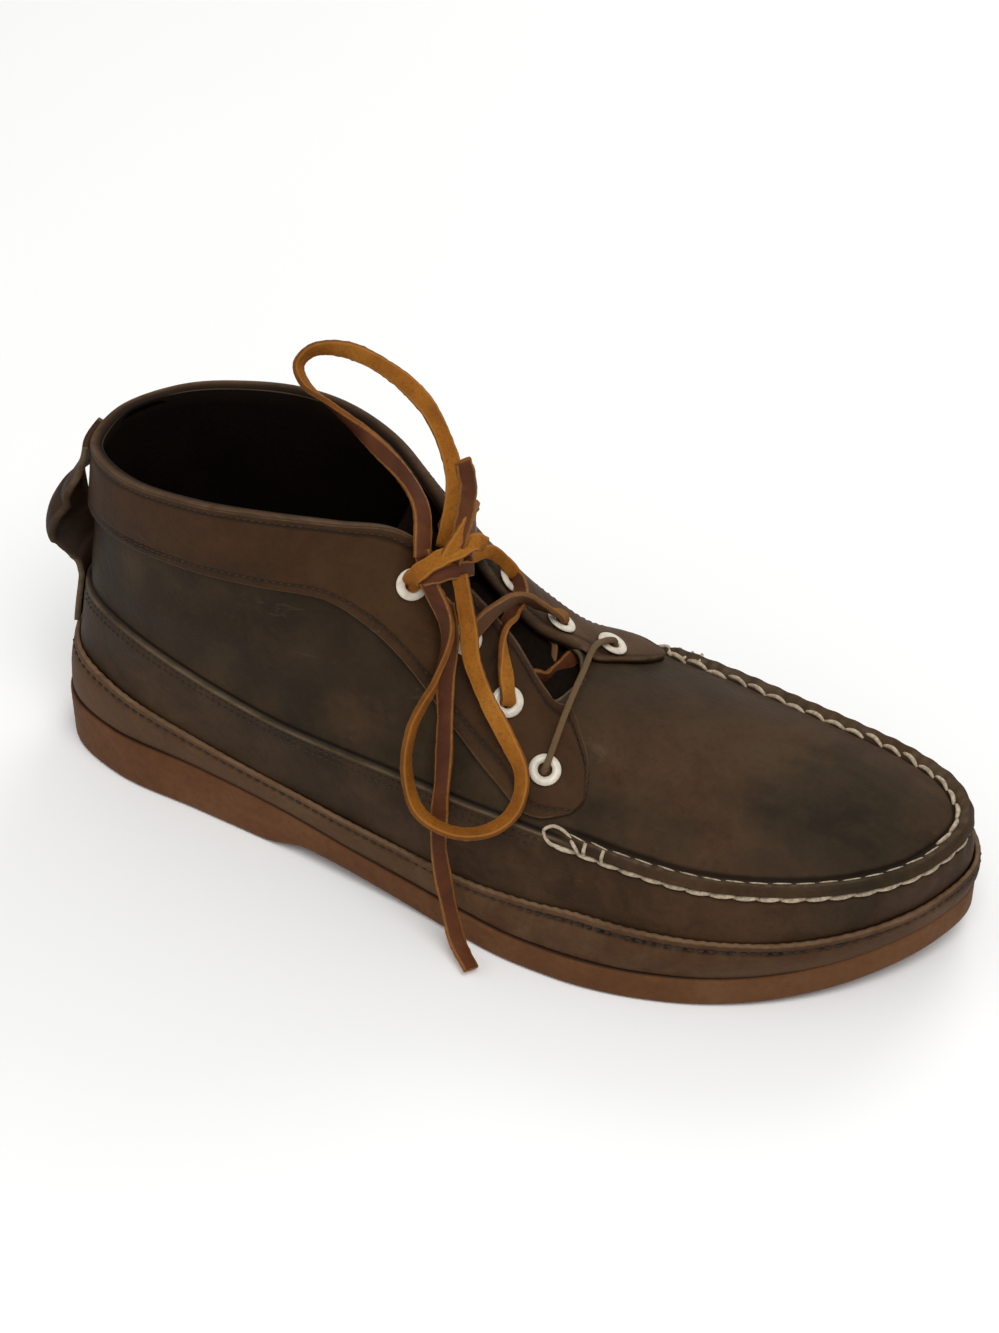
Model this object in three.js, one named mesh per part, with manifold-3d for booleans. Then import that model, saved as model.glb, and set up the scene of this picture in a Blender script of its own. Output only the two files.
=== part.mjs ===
import * as THREE from "three";
import { mergeVertices } from "three/addons/utils/BufferGeometryUtils.js";
import Module from "manifold-3d";

const wasm = await Module();
wasm.setup();

// Sizes of the right boot in millimetres. +X runs to the toe, +Y to the inner side, +Z up.
const LENGTH = 290;
const HALF_BALL = 54;
const COLLAR = 120;
const HEEL_CENTRE = 42;
const SOLE_THICK = 11;
const HEEL_LIFT = 8;
const TOE_SPRING = 8.4;
const ARCH = 4.5;

// Leather thicknesses and the clearance between pieces that touch.
const GAP = 0.3;
const SKIN = 1.6;
const WALL_STEP = 1.4;
const RIDGE = 3.4;
const FACING = 1.6;
const FACING_LIFT = 0.62;
const RAND = 2.6;
const BASE_INSET = 5;

// One row a station along the outer side, from the middle of the heel to the toe's tip. X is a
// share of LENGTH, Y of HALF_BALL and Z of COLLAR; swell, belly and rise are millimetres. foot is
// the sole's edge, seam the top of the moccasin wall, and top the collar rim on rows 0 to 6, the
// throat's edge on rows 7 to 9 and the middle of the plug from row 10.
const STATION = ["footX", "footY", "swell", "seamX", "seamY", "seamZ", "belly", "rise",
  "topX", "topY", "topZ"];
const OUTER_SIDE = [
  [0.007, 0.000, 1.0, 0.042, 0.000, 0.500, 0.0, 0.0, 0.063, 0.000, 0.917],
  [0.028, -0.315, 1.0, 0.062, -0.240, 0.512, 0.0, 0.0, 0.083, -0.185, 0.933],
  [0.097, -0.520, 1.0, 0.115, -0.435, 0.512, 1.0, 0.0, 0.135, -0.361, 0.950],
  [0.201, -0.611, 1.5, 0.201, -0.574, 0.475, 1.5, 0.0, 0.219, -0.490, 0.990],
  [0.306, -0.704, 1.5, 0.299, -0.648, 0.425, 2.0, 0.0, 0.292, -0.500, 1.012],
  [0.396, -0.806, 1.5, 0.382, -0.704, 0.412, 1.5, 0.0, 0.361, -0.417, 1.008],
  [0.472, -0.889, 1.5, 0.462, -0.759, 0.408, 1.0, 0.0, 0.414, -0.240, 0.958],
  [0.531, -0.963, 1.5, 0.521, -0.796, 0.400, 0.5, 0.5, 0.472, -0.148, 0.808],
  [0.576, -1.019, 1.5, 0.563, -0.815, 0.396, -1.0, 0.5, 0.521, -0.157, 0.688],
  [0.618, -1.046, 2.0, 0.597, -0.824, 0.387, 0.0, 1.5, 0.572, -0.240, 0.558],
  [0.660, -1.056, 2.0, 0.639, -0.824, 0.379, 0.0, 4.0, 0.590, 0.019, 0.529],
  [0.715, -1.028, 2.5, 0.694, -0.833, 0.367, 0.0, 4.0, 0.680, 0.000, 0.500],
  [0.785, -0.935, 2.5, 0.764, -0.824, 0.363, 0.0, 3.5, 0.750, 0.037, 0.471],
  [0.854, -0.770, 3.0, 0.844, -0.713, 0.363, 0.0, 2.7, 0.809, 0.056, 0.450],
  [0.924, -0.500, 3.0, 0.910, -0.537, 0.367, 0.0, 2.0, 0.854, 0.074, 0.438],
  [0.979, -0.155, 2.5, 0.958, -0.296, 0.371, 0.0, 1.5, 0.885, 0.093, 0.429],
  [1.000, 0.148, 2.5, 0.983, 0.056, 0.375, 0.0, 1.3, 0.910, 0.093, 0.425],
];
// The inner side's rows 1 to 15; from row 10 its top is the outer side's.
const INNER_SIDE = [
  [0.028, 0.315, 1.0, 0.062, 0.240, 0.512, 0.0, 0.0, 0.073, 0.204, 0.946],
  [0.097, 0.528, 1.0, 0.115, 0.435, 0.508, 1.0, 0.0, 0.118, 0.389, 0.975],
  [0.201, 0.602, 1.5, 0.201, 0.556, 0.467, 1.5, 0.0, 0.201, 0.500, 1.004],
  [0.306, 0.602, 1.5, 0.299, 0.583, 0.425, 1.5, 0.0, 0.281, 0.490, 1.017],
  [0.396, 0.611, 1.5, 0.382, 0.600, 0.417, 2.0, 0.0, 0.347, 0.380, 1.000],
  [0.472, 0.648, 1.5, 0.462, 0.630, 0.412, 3.0, 1.0, 0.403, 0.222, 0.950],
  [0.531, 0.694, 1.5, 0.521, 0.667, 0.408, 1.5, 5.0, 0.472, 0.139, 0.742],
  [0.576, 0.741, 1.5, 0.563, 0.704, 0.404, 1.0, 2.0, 0.524, 0.167, 0.600],
  [0.618, 0.787, 2.0, 0.601, 0.741, 0.396, 1.0, 2.0, 0.569, 0.204, 0.542],
  [0.660, 0.833, 2.0, 0.642, 0.726, 0.387, 0.0, 3.0],
  [0.715, 0.861, 2.5, 0.698, 0.704, 0.375, 0.0, 4.0],
  [0.785, 0.852, 3.0, 0.771, 0.639, 0.367, 0.0, 3.5],
  [0.854, 0.778, 3.5, 0.844, 0.565, 0.363, 0.0, 2.7],
  [0.920, 0.639, 3.0, 0.913, 0.454, 0.367, 0.0, 2.0],
  [0.977, 0.426, 2.5, 0.962, 0.296, 0.371, 0.0, 1.5],
];
const TOE = OUTER_SIDE.length - 1;
const RING = 2 * TOE;
const PLUG_START = 10;
const PER_STATION = 3;
const COLUMNS = RING * PER_STATION;

function clamp01(t) {
  return Math.min(1, Math.max(0, t));
}

function smooth(low, high, x) {
  const t = clamp01((x - low) / (high - low));
  return t * t * (3 - 2 * t);
}

/** The height of the outsole's upper face at x millimetres from the heel's back. */
function soleTop(x) {
  const spring = clamp01((x / LENGTH - 0.74) / 0.26);
  const lift = 1 - smooth(0.16, 0.56, x / LENGTH);
  return SOLE_THICK + HEEL_LIFT * lift + TOE_SPRING * spring * spring;
}

/** The height of the tread: flat under heel and ball, raised in the arch and at the toe. */
function soleBottom(x) {
  const share = x / LENGTH;
  const spring = clamp01((share - 0.74) / 0.26);
  const arch = smooth(0.28, 0.34, share) * (1 - smooth(0.36, 0.54, share));
  return ARCH * arch + TOE_SPRING * spring * spring;
}

function readStation(row, topRow = row) {
  const s = Object.fromEntries(STATION.map((name, i) => [name, row[i]]));
  const [topX, topY, topZ] = topRow.slice(8);
  const seam = new THREE.Vector3(s.seamX * LENGTH, s.seamY * HALF_BALL, s.seamZ * COLLAR);
  const top = new THREE.Vector3(topX * LENGTH, topY * HALF_BALL, topZ * COLLAR);
  const middle = seam.clone().add(top).multiplyScalar(0.5);
  middle.y += s.belly * Math.sign(s.footY);
  middle.z += s.rise;
  const foot = new THREE.Vector3(s.footX * LENGTH, s.footY * HALF_BALL, 0);
  return { foot, seam, middle, top, swell: s.swell };
}

const stations = OUTER_SIDE.map((row) => readStation(row));
for (let i = TOE - 1; i > 0; i -= 1) {
  const row = INNER_SIDE[i - 1];
  stations.push(readStation(row, i < PLUG_START ? row : OUTER_SIDE[i]));
}

function closedCurve(points) {
  return new THREE.CatmullRomCurve3(points, true, "centripetal");
}

const footCurve = closedCurve(stations.map((s) => s.foot));
const seamCurve = closedCurve(stations.map((s) => s.seam));
const middleCurve = closedCurve(stations.map((s) => s.middle));
const topCurve = closedCurve(stations.map((s) => s.top));

function ringShare(u) {
  return (((u % RING) + RING) % RING) / RING;
}

/** The unit normal of the sole's edge in plan, pointing out of the boot. */
function planNormal(u) {
  const along = footCurve.getTangent(ringShare(u));
  return new THREE.Vector3(along.y, -along.x, 0).normalize();
}

/** A point of the sole's edge moved in by some millimetres, at height 0. */
function planPoint(u, inset) {
  return footCurve.getPoint(ringShare(u)).addScaledVector(planNormal(u), -inset);
}

/** The skin's lowest line, moved out level by some millimetres and resting on the outsole. */
function footing(u, lift = 0) {
  const point = planPoint(u, BASE_INSET - lift);
  point.z = soleTop(point.x) + GAP;
  return point;
}

const wallCurve = closedCurve(stations.map((s, u) => footing(u).add(s.seam).multiplyScalar(0.5)
  .addScaledVector(planNormal(u), s.swell)));

/** The upper's top line at u; both sides share the plug's middle line. */
function topPoint(u) {
  const around = ringShare(u) * RING;
  const mirrored = around > TOE && around <= RING - PLUG_START ? RING - around : around;
  return topCurve.getPoint(ringShare(mirrored));
}

function parabola(a, b, c, t) {
  return new THREE.Vector3()
    .addScaledVector(a, (1 - t) * (1 - 2 * t))
    .addScaledVector(b, 4 * t * (1 - t))
    .addScaledVector(c, t * (2 * t - 1));
}

/** The skin without any relief: w is 0 at the sole, 1 at the moccasin seam and 2 at the top. */
function skinPoint(u, w) {
  const share = ringShare(u);
  if (w <= 1) return parabola(footing(u), wallCurve.getPoint(share), seamCurve.getPoint(share), w);
  return parabola(seamCurve.getPoint(share), middleCurve.getPoint(share), topPoint(u), w - 1);
}

function patchNormal(u, w) {
  const step = 0.02;
  const low = w <= 1 ? 0 : 1.0001;
  const high = w <= 1 ? 1 : 2;
  const up = skinPoint(u, Math.min(w + step, high)).sub(skinPoint(u, Math.max(w - step, low)));
  const along = skinPoint(u + step, w).sub(skinPoint(u - step, w));
  return along.cross(up).normalize();
}

function isPlug(u) {
  const around = ringShare(u) * RING;
  return around >= PLUG_START && around <= RING - PLUG_START;
}

/** The outward normal of the skin, turned gradually across the seam. */
function skinNormal(u, w) {
  const reach = 0.12;
  const normal = patchNormal(u, w);
  if (w === 2 && isPlug(u)) return normal.add(patchNormal(RING - u, w)).normalize();
  const share = Math.abs(w - 1) / reach;
  if (share >= 1) return normal;
  const across = patchNormal(u, 1).add(patchNormal(u, 1.0001)).normalize();
  return normal.lerp(across, 1 - share).normalize();
}

function lifted(u, w, lift) {
  if (w === 0) return footing(u, lift);
  return skinPoint(u, w).addScaledVector(skinNormal(u, w), lift);
}

/** How far the pinched moccasin ridge has risen at u: 0 on the quarters, 1 round the plug. */
function ridgeShare(u) {
  const around = ringShare(u) * RING;
  const fromHeel = Math.min(around, RING - around);
  return smooth(PLUG_START - 0.7, PLUG_START + 0.1, fromHeel);
}

/** Turns rows of points into one closed solid geometry; each face lists three of the points. */
function solidGeometry(points, faces) {
  const geometry = new THREE.BufferGeometry();
  geometry.setAttribute("position", new THREE.Float32BufferAttribute(
    points.flatMap((p) => [p.x, p.y, p.z]), 3));
  geometry.setIndex(faces.flat());
  return mergeVertices(geometry, 1e-3);
}

function quad(a, b, c, d) {
  return [[a, b, c], [a, c, d]];
}

/** A closed body between an outer and an inner skin whose columns go round the boot. */
function ringShell(outer, inner, isOpenTop) {
  const points = [...outer.flat(), ...inner.flat()];
  const shift = outer.length * COLUMNS;
  const faces = [];
  const at = (row, column) => row * COLUMNS + (column % COLUMNS);
  for (let c = 0; c < COLUMNS; c += 1) {
    for (let r = 0; r + 1 < outer.length; r += 1) {
      faces.push(...quad(at(r, c), at(r, c + 1), at(r + 1, c + 1), at(r + 1, c)));
    }
    for (let r = 0; r + 1 < inner.length; r += 1) {
      faces.push(...quad(shift + at(r, c), shift + at(r + 1, c), shift + at(r + 1, c + 1),
        shift + at(r, c + 1)));
    }
    faces.push(...quad(at(0, c), shift + at(0, c), shift + at(0, c + 1), at(0, c + 1)));
    if (isOpenTop(c)) {
      const last = outer.length - 1;
      const lastIn = inner.length - 1;
      faces.push(...quad(at(last, c), at(last, c + 1), shift + at(lastIn, c + 1),
        shift + at(lastIn, c)));
    }
  }
  return solidGeometry(points, faces);
}

/** A closed body between two equal grids of rows, such as a strip or a sheet. */
function sheet(outer, inner) {
  const rows = outer.length;
  const width = outer[0].length;
  const points = [...outer.flat(), ...inner.flat()];
  const shift = rows * width;
  const at = (r, c) => r * width + c;
  const faces = [];
  for (let r = 0; r + 1 < rows; r += 1) {
    for (let c = 0; c + 1 < width; c += 1) {
      faces.push(...quad(at(r, c), at(r, c + 1), at(r + 1, c + 1), at(r + 1, c)));
      faces.push(...quad(shift + at(r, c), shift + at(r + 1, c), shift + at(r + 1, c + 1),
        shift + at(r, c + 1)));
    }
    faces.push(...quad(at(r, 0), at(r + 1, 0), shift + at(r + 1, 0), shift + at(r, 0)));
    const c = width - 1;
    faces.push(...quad(at(r, c), shift + at(r, c), shift + at(r + 1, c), at(r + 1, c)));
  }
  for (let c = 0; c + 1 < width; c += 1) {
    const r = rows - 1;
    faces.push(...quad(at(0, c), shift + at(0, c), shift + at(0, c + 1), at(0, c + 1)));
    faces.push(...quad(at(r, c), at(r, c + 1), shift + at(r, c + 1), shift + at(r, c)));
  }
  return solidGeometry(points, faces);
}

/** A ring of one closed profile, such as the rand: section(u) gives its points in order. */
function ringOfProfile(section) {
  const sections = Array.from({ length: COLUMNS }, (_, c) => section(c / PER_STATION));
  const size = sections[0].length;
  const faces = [];
  for (let c = 0; c < COLUMNS; c += 1) {
    const next = (c + 1) % COLUMNS;
    for (let i = 0; i < size; i += 1) {
      const j = (i + 1) % size;
      faces.push(...quad(c * size + i, next * size + i, next * size + j, c * size + j));
    }
  }
  return solidGeometry(sections.flat(), faces);
}

/** A slab inside the sole's outline: rows are [inset, height(x)] from the lower face up. */
function slab(rows) {
  const points = rows.flatMap(([inset, height]) => Array.from({ length: COLUMNS }, (_, c) => {
    const point = planPoint(c / PER_STATION, inset);
    point.z = height(point.x);
    return point;
  }));
  const faces = [];
  for (let r = 0; r + 1 < rows.length; r += 1) {
    for (let c = 0; c < COLUMNS; c += 1) {
      const next = (c + 1) % COLUMNS;
      faces.push(...quad(r * COLUMNS + c, r * COLUMNS + next, (r + 1) * COLUMNS + next,
        (r + 1) * COLUMNS + c));
    }
  }
  const last = (rows.length - 1) * COLUMNS;
  for (let c = 0; c < COLUMNS / 2; c += 1) {
    const a = c;
    const b = c + 1;
    const d = (COLUMNS - c) % COLUMNS;
    const e = COLUMNS - c - 1;
    if (b !== e) {
      faces.push([a, e, b], [last + a, last + b, last + e]);
    }
    if (a !== d) {
      faces.push([a, d, e], [last + a, last + e, last + d]);
    }
  }
  return solidGeometry(points, faces);
}

function toManifold(geometry) {
  const plain = geometry.clone();
  plain.deleteAttribute("normal");
  plain.deleteAttribute("uv");
  const merged = mergeVertices(plain, 1e-4);
  return new wasm.Manifold(new wasm.Mesh({
    numProp: 3,
    vertProperties: new Float32Array(merged.attributes.position.array),
    triVerts: new Uint32Array(merged.index.array),
  }));
}

function fromManifold(solid) {
  const mesh = solid.getMesh();
  const geometry = new THREE.BufferGeometry();
  geometry.setAttribute("position", new THREE.Float32BufferAttribute(mesh.vertProperties, 3));
  geometry.setIndex(Array.from(mesh.triVerts));
  return geometry;
}

// The upper's rows: w, the step or ridge on the quarters and round the plug, in millimetres.
const UPPER_ROWS = [
  [0.00, WALL_STEP, WALL_STEP],
  [0.30, WALL_STEP, WALL_STEP],
  [0.60, WALL_STEP, WALL_STEP],
  [0.86, WALL_STEP, WALL_STEP],
  [0.97, WALL_STEP, RIDGE],
  [1.02, 0.0, RIDGE],
  [1.08, 0.0, 0.0],
  [1.25, 0.0, 0.0],
  [1.45, 0.0, 0.0],
  [1.65, 0.0, 0.0],
  [1.85, 0.0, 0.0],
  [2.00, 0.0, 0.0],
];
const INNER_ROWS = [0, 0.5, 1, 1.45, 2];

function upperGeometry() {
  const outer = UPPER_ROWS.map(([w, quarter, plug]) => Array.from({ length: COLUMNS }, (_, c) => {
    const u = c / PER_STATION;
    return lifted(u, w, THREE.MathUtils.lerp(quarter, plug, ridgeShare(u)));
  }));
  const inner = INNER_ROWS.map((w) => Array.from({ length: COLUMNS }, (_, c) => (
    lifted(c / PER_STATION, w, -SKIN))));
  const plugFirst = PLUG_START * PER_STATION;
  return ringShell(outer, inner, (c) => c < plugFirst || c >= COLUMNS - plugFirst);
}

/** The rand's height as a share of the moccasin wall. */
function randTop(u) {
  const around = ringShare(u) * RING;
  const fromHeel = Math.min(around, RING - around);
  return 0.48 - 0.18 * smooth(0.5, 4, fromHeel) + 0.15 * smooth(6, 11, fromHeel);
}

function randGeometry() {
  const inside = WALL_STEP + GAP;
  return ringOfProfile((u) => {
    const top = randTop(u);
    return [
      lifted(u, 0, inside + RAND * 0.9),
      lifted(u, top * 0.5, inside + RAND),
      lifted(u, top * 0.94, inside + RAND * 0.7),
      lifted(u, top, inside),
      lifted(u, top * 0.5, inside),
      lifted(u, 0, inside),
    ];
  });
}

function outsoleGeometry() {
  return slab([
    [1.6, soleBottom],
    [0.0, (x) => soleBottom(x) + 1.6],
    [0.0, (x) => soleTop(x) - 1.2],
    [1.0, soleTop],
  ]);
}

function insoleGeometry() {
  const inset = BASE_INSET + SKIN + 1.2;
  return slab([
    [inset, (x) => soleTop(x) + GAP],
    [inset, (x) => soleTop(x) + GAP + 3],
  ]);
}

// The collar band and facings are one strip from tab to tab. One row a section, from the heel to
// the outer tab: where its lower edge and its upper edge lie on the skin.
const BAND = [
  // lowU, lowW, highU, highW
  [0.00, 1.56, 0.00, 2.00],
  [1.00, 1.58, 1.00, 2.00],
  [2.00, 1.60, 2.00, 2.00],
  [3.00, 1.64, 3.00, 2.00],
  [4.00, 1.68, 4.00, 2.00],
  [4.90, 1.68, 5.00, 2.00],
  [5.45, 1.60, 5.60, 2.00],
  [5.95, 1.50, 6.00, 2.00],
  [6.50, 1.38, 6.80, 2.00],
  [7.10, 1.26, 7.80, 2.00],
  [7.70, 1.16, 8.80, 2.00],
  [8.40, 1.08, 9.50, 1.88],
  [9.10, 1.08, 9.90, 1.66],
  [9.55, 1.11, 10.15, 1.44],
  [9.90, 1.14, 10.15, 1.24],
];
const BAND_ACROSS = 6;

function bandSections(side) {
  const sections = [];
  for (let i = 0; i + 1 < BAND.length; i += 1) {
    const steps = i < 5 ? PER_STATION : 2;
    for (let k = 0; k < steps; k += 1) {
      sections.push(BAND[i].map((value, n) => THREE.MathUtils.lerp(value, BAND[i + 1][n], k / steps)));
    }
  }
  sections.push(BAND[BAND.length - 1]);
  return sections.map(([lowU, lowW, highU, highW]) => [side * lowU, lowW, side * highU, highW]);
}

function facingGeometry() {
  const sections = [...bandSections(-1).slice(1).reverse(), ...bandSections(1)];
  const layer = (lift) => sections.map(([lowU, lowW, highU, highW]) => (
    Array.from({ length: BAND_ACROSS }, (_, i) => {
      const t = i / (BAND_ACROSS - 1);
      return lifted(THREE.MathUtils.lerp(lowU, highU, t), THREE.MathUtils.lerp(lowW, highW, t), lift);
    })));
  return sheet(layer(FACING_LIFT), layer(FACING_LIFT + FACING));
}

// The tongue's sections: x as a share of LENGTH, z of COLLAR, then its half width and the drop
// of its edges in millimetres.
const TONGUE = [
  [0.393, 0.875, 18, 5.0],
  [0.443, 0.762, 19.5, 5.5],
  [0.500, 0.627, 23, 6.0],
  [0.552, 0.532, 25, 6.0],
  [0.602, 0.491, 25, 6.0],
  [0.660, 0.467, 25, 5.5],
];
const TONGUE_ACROSS = 9;
const TONGUE_THICK = 2;

function tongueGeometry() {
  const middle = new THREE.CatmullRomCurve3(TONGUE.map(([x, z]) => (
    new THREE.Vector3(x * LENGTH, 0, z * COLLAR))));
  const steps = 2 * (TONGUE.length - 1);
  const rows = [];
  for (let i = 0; i <= steps; i += 1) {
    const row = Math.min(TONGUE.length - 2, Math.floor(i / 2));
    const share = i / 2 - row;
    const width = THREE.MathUtils.lerp(TONGUE[row][2], TONGUE[row + 1][2], share);
    const drop = THREE.MathUtils.lerp(TONGUE[row][3], TONGUE[row + 1][3], share);
    const centre = middle.getPoint(i / steps);
    const along = middle.getTangent(i / steps);
    const up = new THREE.Vector3(-along.z, 0, along.x);
    rows.push({ centre, up, width, drop });
  }
  const layer = (depth) => rows.map(({ centre, up, width, drop }) => (
    Array.from({ length: TONGUE_ACROSS }, (_, c) => {
      const side = 1 - 2 * c / (TONGUE_ACROSS - 1);
      const point = centre.clone().addScaledVector(up, -drop * side * side - depth);
      point.y += side * width;
      return point;
    })));
  return sheet(layer(0), layer(TONGUE_THICK));
}

// The heel strip and its pull loop, from the rim down: w on the skin and the gap behind it.
const BACKSTAY = [
  [1.985, 2.6],
  [1.90, 3.0],
  [1.78, 4.4],
  [1.66, 7.2],
  [1.55, 10.4],
  [1.44, 12.8],
  [1.33, 13.0],
  [1.23, 10.0],
  [1.14, 5.6],
  [1.05, 2.6],
  [0.90, 1.9],
  [0.54, 1.9],
];
const BACKSTAY_HALF = 0.52;
const STRAP = 1.8;

function backstayGeometry() {
  const layer = (extra) => BACKSTAY.map(([w, lift]) => Array.from({ length: 5 }, (_, c) => (
    lifted(BACKSTAY_HALF * (1 - c / 2), w, lift + extra))));
  return sheet(layer(STRAP), layer(0));
}

// The eyelets' places on the skin, from the collar down: u and w on each side.
const EYELETS = [
  [6.12, 1.82, 25.70, 1.86],
  [7.00, 1.75, 24.85, 1.87],
  [7.94, 1.60, 23.80, 1.83],
  [9.07, 1.41, 22.60, 1.66],
];
const EYELET_HOLE = 2.4;
const EYELET_BARREL = 2.9;
const EYELET_FLANGE = 4.7;
const FLANGE_LIFT = 0.9;
const FLANGE_THICK = 0.9;
const EYELET_SIDES = 10;
const PUNCH_CLEAR = 0.35;
const PUNCH_LENGTH = 14;

function seatOn(geometry, u, w) {
  const normal = skinNormal(u, w);
  const turn = new THREE.Quaternion().setFromUnitVectors(new THREE.Vector3(0, 1, 0), normal);
  const point = lifted(u, w, FACING_LIFT + FACING);
  return geometry.applyQuaternion(turn).translate(point.x, point.y, point.z);
}

function eyeletGeometry(u, w) {
  const depth = FACING + FACING_LIFT + SKIN + GAP;
  const profile = [
    [EYELET_HOLE, -depth],
    [EYELET_BARREL, -depth],
    [EYELET_BARREL, FLANGE_LIFT],
    [EYELET_FLANGE, FLANGE_LIFT],
    [EYELET_FLANGE - 0.7, FLANGE_LIFT + FLANGE_THICK],
    [EYELET_HOLE, FLANGE_LIFT + FLANGE_THICK],
    [EYELET_HOLE, -depth],
  ].map(([r, y]) => new THREE.Vector2(r, y));
  return seatOn(new THREE.LatheGeometry(profile, EYELET_SIDES), u, w);
}

const eyeletSeats = EYELETS.flatMap(([u, w, innerU, innerW], i) => [
  { name: `eyelet_outer_${i + 1}`, u, w },
  { name: `eyelet_inner_${i + 1}`, u: innerU, w: innerW },
]);

/** Cuts the eyelets' holes through a leather piece. */
function punched(geometry) {
  const radius = EYELET_BARREL + PUNCH_CLEAR;
  return fromManifold(eyeletSeats.reduce((solid, { u, w }) => {
    const hole = new THREE.CylinderGeometry(radius, radius, PUNCH_LENGTH, EYELET_SIDES);
    return solid.subtract(toManifold(seatOn(hole, u, w)));
  }, toManifold(geometry)));
}

// The rawhide lace. Each row is a strand from an outer eyelet to an inner one, counted from the
// collar down, and how far its middle rises over the throat, in millimetres.
const LACE_WIDTH = 5;
const LACE_THICK = 1.8;
const LACE_CLEAR = 1.1;
const STRAND_LIFT = FACING_LIFT + FACING + FLANGE_LIFT + FLANGE_THICK + LACE_THICK + LACE_CLEAR;
const STRANDS = [
  [4, 4, 0.5],
  [4, 3, 2.5],
  [3, 4, 2.5],
  [3, 2, 2.5],
  [2, 3, 2.5],
  [2, 1, 2.5],
  [1, 2, 2.5],
];
const STRAND_STEPS = 8;

/** A flat strand from one outer eyelet to one inner eyelet, lying over both throat edges. */
function strandGeometry(outerEyelet, innerEyelet, rise) {
  const [outerU, outerW] = EYELETS[outerEyelet - 1];
  const [, , innerU, innerW] = EYELETS[innerEyelet - 1];
  const { lerp } = THREE.MathUtils;
  const start = lifted(outerU, outerW, STRAND_LIFT);
  const end = lifted(innerU, innerW, STRAND_LIFT);
  const startEdge = lifted(lerp(outerU, RING - innerU, 0.3), lerp(outerW, 2, 0.8), STRAND_LIFT);
  const endEdge = lifted(lerp(innerU, RING - outerU, 0.3), lerp(innerW, 2, 0.8), STRAND_LIFT);
  const middle = startEdge.clone().add(endEdge).multiplyScalar(0.5);
  middle.z += rise;
  const route = new THREE.CatmullRomCurve3([start, startEdge, middle, endEdge, end]);
  const startNormal = skinNormal(outerU, outerW);
  const endNormal = skinNormal(innerU, innerW);
  const rows = Array.from({ length: STRAND_STEPS + 1 }, (_, i) => {
    const share = i / STRAND_STEPS;
    const along = route.getTangent(share);
    const across = along.clone().cross(startNormal.clone().lerp(endNormal, share)).normalize();
    return { centre: route.getPoint(share), across, up: across.clone().cross(along) };
  });
  const layer = (height) => rows.map(({ centre, across, up }) => [-0.5, 0.5].map((side) => (
    centre.clone().addScaledVector(across, side * LACE_WIDTH).addScaledVector(up, height))));
  return sheet(layer(LACE_THICK / 2), layer(-LACE_THICK / 2));
}

function laceCrossings() {
  return fromManifold(STRANDS.reduce((solid, [outer, inner, rise]) => {
    const strand = toManifold(strandGeometry(outer, inner, rise));
    return solid ? solid.add(strand) : strand;
  }, null));
}

// The lace's loose stretches, as points on their middle lines in millimetres.
const LACE_ROUTES = {
  lace_knot: [[128, -24, 110.8], [133, -18, 111.8], [139, -13.2, 108.3]],
  lace_loop_upper: [
    [129.6, -20, 114], [126, -11.5, 123.5], [118, -4, 127], [104, 4, 130.5], [87, 14, 131],
    [77, 19, 132], [73.5, 22, 135.5], [77, 23, 141], [90, 19, 148], [107, 11, 151],
    [122, 2, 149.5], [131, -5, 143], [135.4, -9.5, 134], [133.5, -13.6, 114.1],
  ],
  lace_loop_lower: [
    [132, -22, 108], [139.5, -26, 96], [139, -34, 83], [134.5, -41, 69], [134.7, -46, 56],
    [140.8, -51.5, 47.5], [152, -53, 45], [162.3, -51, 48], [167.6, -46, 53], [167, -38.5, 60],
    [160.6, -34, 68], [152.7, -29.5, 76.3], [147, -26.5, 87], [144.5, -23, 96], [140, -18, 109.5],
  ],
  lace_end_long: [
    [136.5, -20, 99], [139.4, -24, 87.2], [140.3, -29.8, 79.7], [142.5, -35.8, 69.6],
    [144.5, -42.2, 58.6], [145.4, -47.6, 46.5], [146.4, -51, 34.3], [148.6, -54, 28],
    [152, -56.3, 14], [155, -58.5, 6], [161.5, -64, 2.8],
  ],
  lace_end_short: [[137.6, -16.4, 112.4], [141, -16, 129.6], [142.4, -17, 141.3], [141.4, -18, 150]],
};
const CORD_WIDTH = 4.4;
const CORD_THICK = 2.4;
const CORD_SIDES = 8;
const CORD_STEP = 12;

/** A plain tube along a stretch of lace, with a many-sided flat section. */
function cordGeometry(points) {
  const route = new THREE.CatmullRomCurve3(points.map((p) => new THREE.Vector3(...p)));
  const section = new THREE.Shape(Array.from({ length: CORD_SIDES }, (_, i) => {
    const angle = 2 * Math.PI * (i + 0.5) / CORD_SIDES;
    return new THREE.Vector2(CORD_WIDTH / 2 * Math.cos(angle), CORD_THICK / 2 * Math.sin(angle));
  }));
  const steps = Math.max(2, Math.round(route.getLength() / CORD_STEP));
  return new THREE.ExtrudeGeometry(section, { steps, extrudePath: route });
}

const leather = { color: 0x3f3227, roughness: 0.75, metalness: 0 };
const metal = { color: 0xd8cfbf, roughness: 0.35, metalness: 0.6 };
const rubber = { color: 0x5f3b24, roughness: 0.85, metalness: 0 };
const rawhide = { color: 0x9a5f26, roughness: 0.7, metalness: 0 };

const group = new THREE.Group();

function add(name, geometry, finish) {
  const mesh = new THREE.Mesh(geometry, new THREE.MeshStandardMaterial(finish));
  mesh.name = name;
  mesh.position.x = -HEEL_CENTRE;
  group.add(mesh);
  return mesh;
}

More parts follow.
